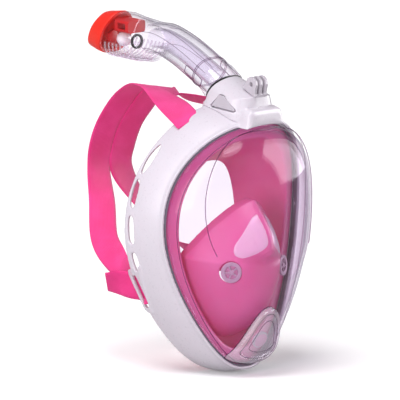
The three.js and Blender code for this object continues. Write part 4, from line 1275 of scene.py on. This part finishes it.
def build_chin_cover():
    rings = [cover_ring(k, height) for k, height in COVER_FRONT + COVER_BACK]
    cover = raw("clear_chin_cover", grid(rings))
    dress(cover, COVER_CLEAR, "mask", ["chin_valve_cover"], 35)
    # The beads are dark lines of painted shade along the cover's edges and facets.
    for name, k, height, radius in COVER_BEADS:
        line = bead(cover_ring(k, height), radius)
        piece(name, line, EDGE_SHADE_LINE, "mask", ["chin_valve_cover"])


# ---- stage, with lamps placed in the row frame's metres ----


def stand(data, at, aim, roll=0.0):
    """Puts a lamp or the camera at a point, aimed at another."""
    ob = bpy.data.objects.new(data.name, data)
    scene.collection.objects.link(ob)
    ob.location = at
    ob.rotation_mode = "QUATERNION"
    facing = (Vector(aim) - Vector(at)).to_track_quat("-Z", "Y")
    ob.rotation_quaternion = facing @ Quaternion((0, 0, 1), math.radians(roll))
    return ob


def area(name, at, aim, size, power, roll=0.0):
    """A rectangular lamp."""
    light = bpy.data.lights.new(name, "AREA")
    light.shape = "RECTANGLE"
    light.size, light.size_y = size
    light.energy = power
    return stand(light, at, aim, roll)


def reflection(*lamp):
    """A lamp that shows in reflections without lighting anything."""
    ob = area(*lamp)
    ob.visible_diffuse = False
    ob.visible_camera = False


def build_floor():
    """Plain paper, which sends less light back up at the mask than the camera sees in it."""
    bpy.ops.mesh.primitive_plane_add(size=30, location=(0, 0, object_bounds()[0][2]))
    floor = bpy.context.active_object
    floor.name = "studio_floor"
    n = Nodes(bpy.data.materials.new("studio_floor_paper"))
    values = {"Emission Color": (1, 1, 1, 1), "Emission Strength": 0.12, "Roughness": 0.9}
    shader = n.add("ShaderNodeBsdfPrincipled", values)
    paper = n.add("ShaderNodeMix", data_type="RGBA")
    paper.inputs["A"].default_value = (0.5, 0.5, 0.5, 1)
    paper.inputs["B"].default_value = (0.96, 0.96, 0.96, 1)
    n.link(n.add("ShaderNodeLightPath").outputs["Is Camera Ray"], paper.inputs["Factor"])
    n.link(paper.outputs["Result"], shader.inputs["Base Color"])
    floor.data.materials.append(n.finish(shader.outputs["BSDF"]))


def build_world():
    """White behind the object, and a softer light on it."""
    scene.world = bpy.data.worlds.new("studio")
    n = Nodes(scene.world)
    seen = n.add("ShaderNodeBackground", {"Color": (1, 1, 1, 1)}).outputs[0]
    unseen = n.add("ShaderNodeBackground", {"Color": (0.97, 0.95, 1, 1), "Strength": 0.4}).outputs[0]
    camera_ray = n.add("ShaderNodeLightPath").outputs["Is Camera Ray"]
    n.finish(n.blend(unseen, seen, camera_ray), "ShaderNodeOutputWorld")


def build_lights():
    """A soft sun from above, small fills, and two windows that only show as reflections."""
    sun = bpy.data.lights.new("window", "SUN")
    sun.energy = 2.2
    sun.angle = math.radians(34)
    stand(sun, (-0.5, -0.12, 1.2), (0, 0, 0))
    area("left_fill", (-1.15, 0.05, 0.0), (0, 0, 0), (0.6, 1.5), 1.2)
    camera_fill = area("camera_fill", (-1.3, -0.85, 0.3), (0, 0, 0), (0.5, 0.5), 11.0)
    camera_fill.visible_glossy = False
    reflection("right_window", (2.05, -0.96, 0.19), (0, -0.05, 0.02), (2.2, 5.0), 220, 30)
    reflection("left_window", (-1.7, 0.25, 0.1), (0, 0, 0), (0.8, 2.6), 14)
    scene.view_settings.view_transform = "Standard"
    scene.cycles.transparent_max_bounces = 40


VIEW_TURN, VIEW_RISE, VIEW_SCALE = math.radians(-40), math.radians(10), 0.38
VIEW_MIDDLE = vec(-4.73, 40.18, 157.34)
VIEW_FROM = 1500


def build_camera():
    """A parallel view from the photo's angle."""
    camera = bpy.data.cameras.new("camera")
    camera.type = "ORTHO"
    camera.ortho_scale = VIEW_SCALE
    camera.clip_end = 20
    level = math.cos(VIEW_RISE)
    back = vec(math.sin(VIEW_TURN) * level, -math.cos(VIEW_TURN) * level, math.sin(VIEW_RISE))
    scene.camera = stand(camera, row(VIEW_MIDDLE + back * VIEW_FROM), row(VIEW_MIDDLE))


build_lens()
build_frame()
piece("seam_seal", seam_ring(0.3, 1.7, -1.0, 5), SEAL, "mask", ["lens_seal"])
build_skirt()
piece("retainer_ring", seam_ring(1, 8, 9.4, 11.4), WHITE, "mask", ["skirt_retainer"])
build_cup()
build_chin_valve()
build_chin_cover()
build_adapter()
# The camera mount takes the white plastic with painted shade.
soften("camera_mount", SHADED, 0.3, 3)
build_tube()
build_collar()
build_neck()
build_chamber()
build_valve()
build_cap()
build_harness()
build_floor()
build_world()
build_lights()
build_camera()
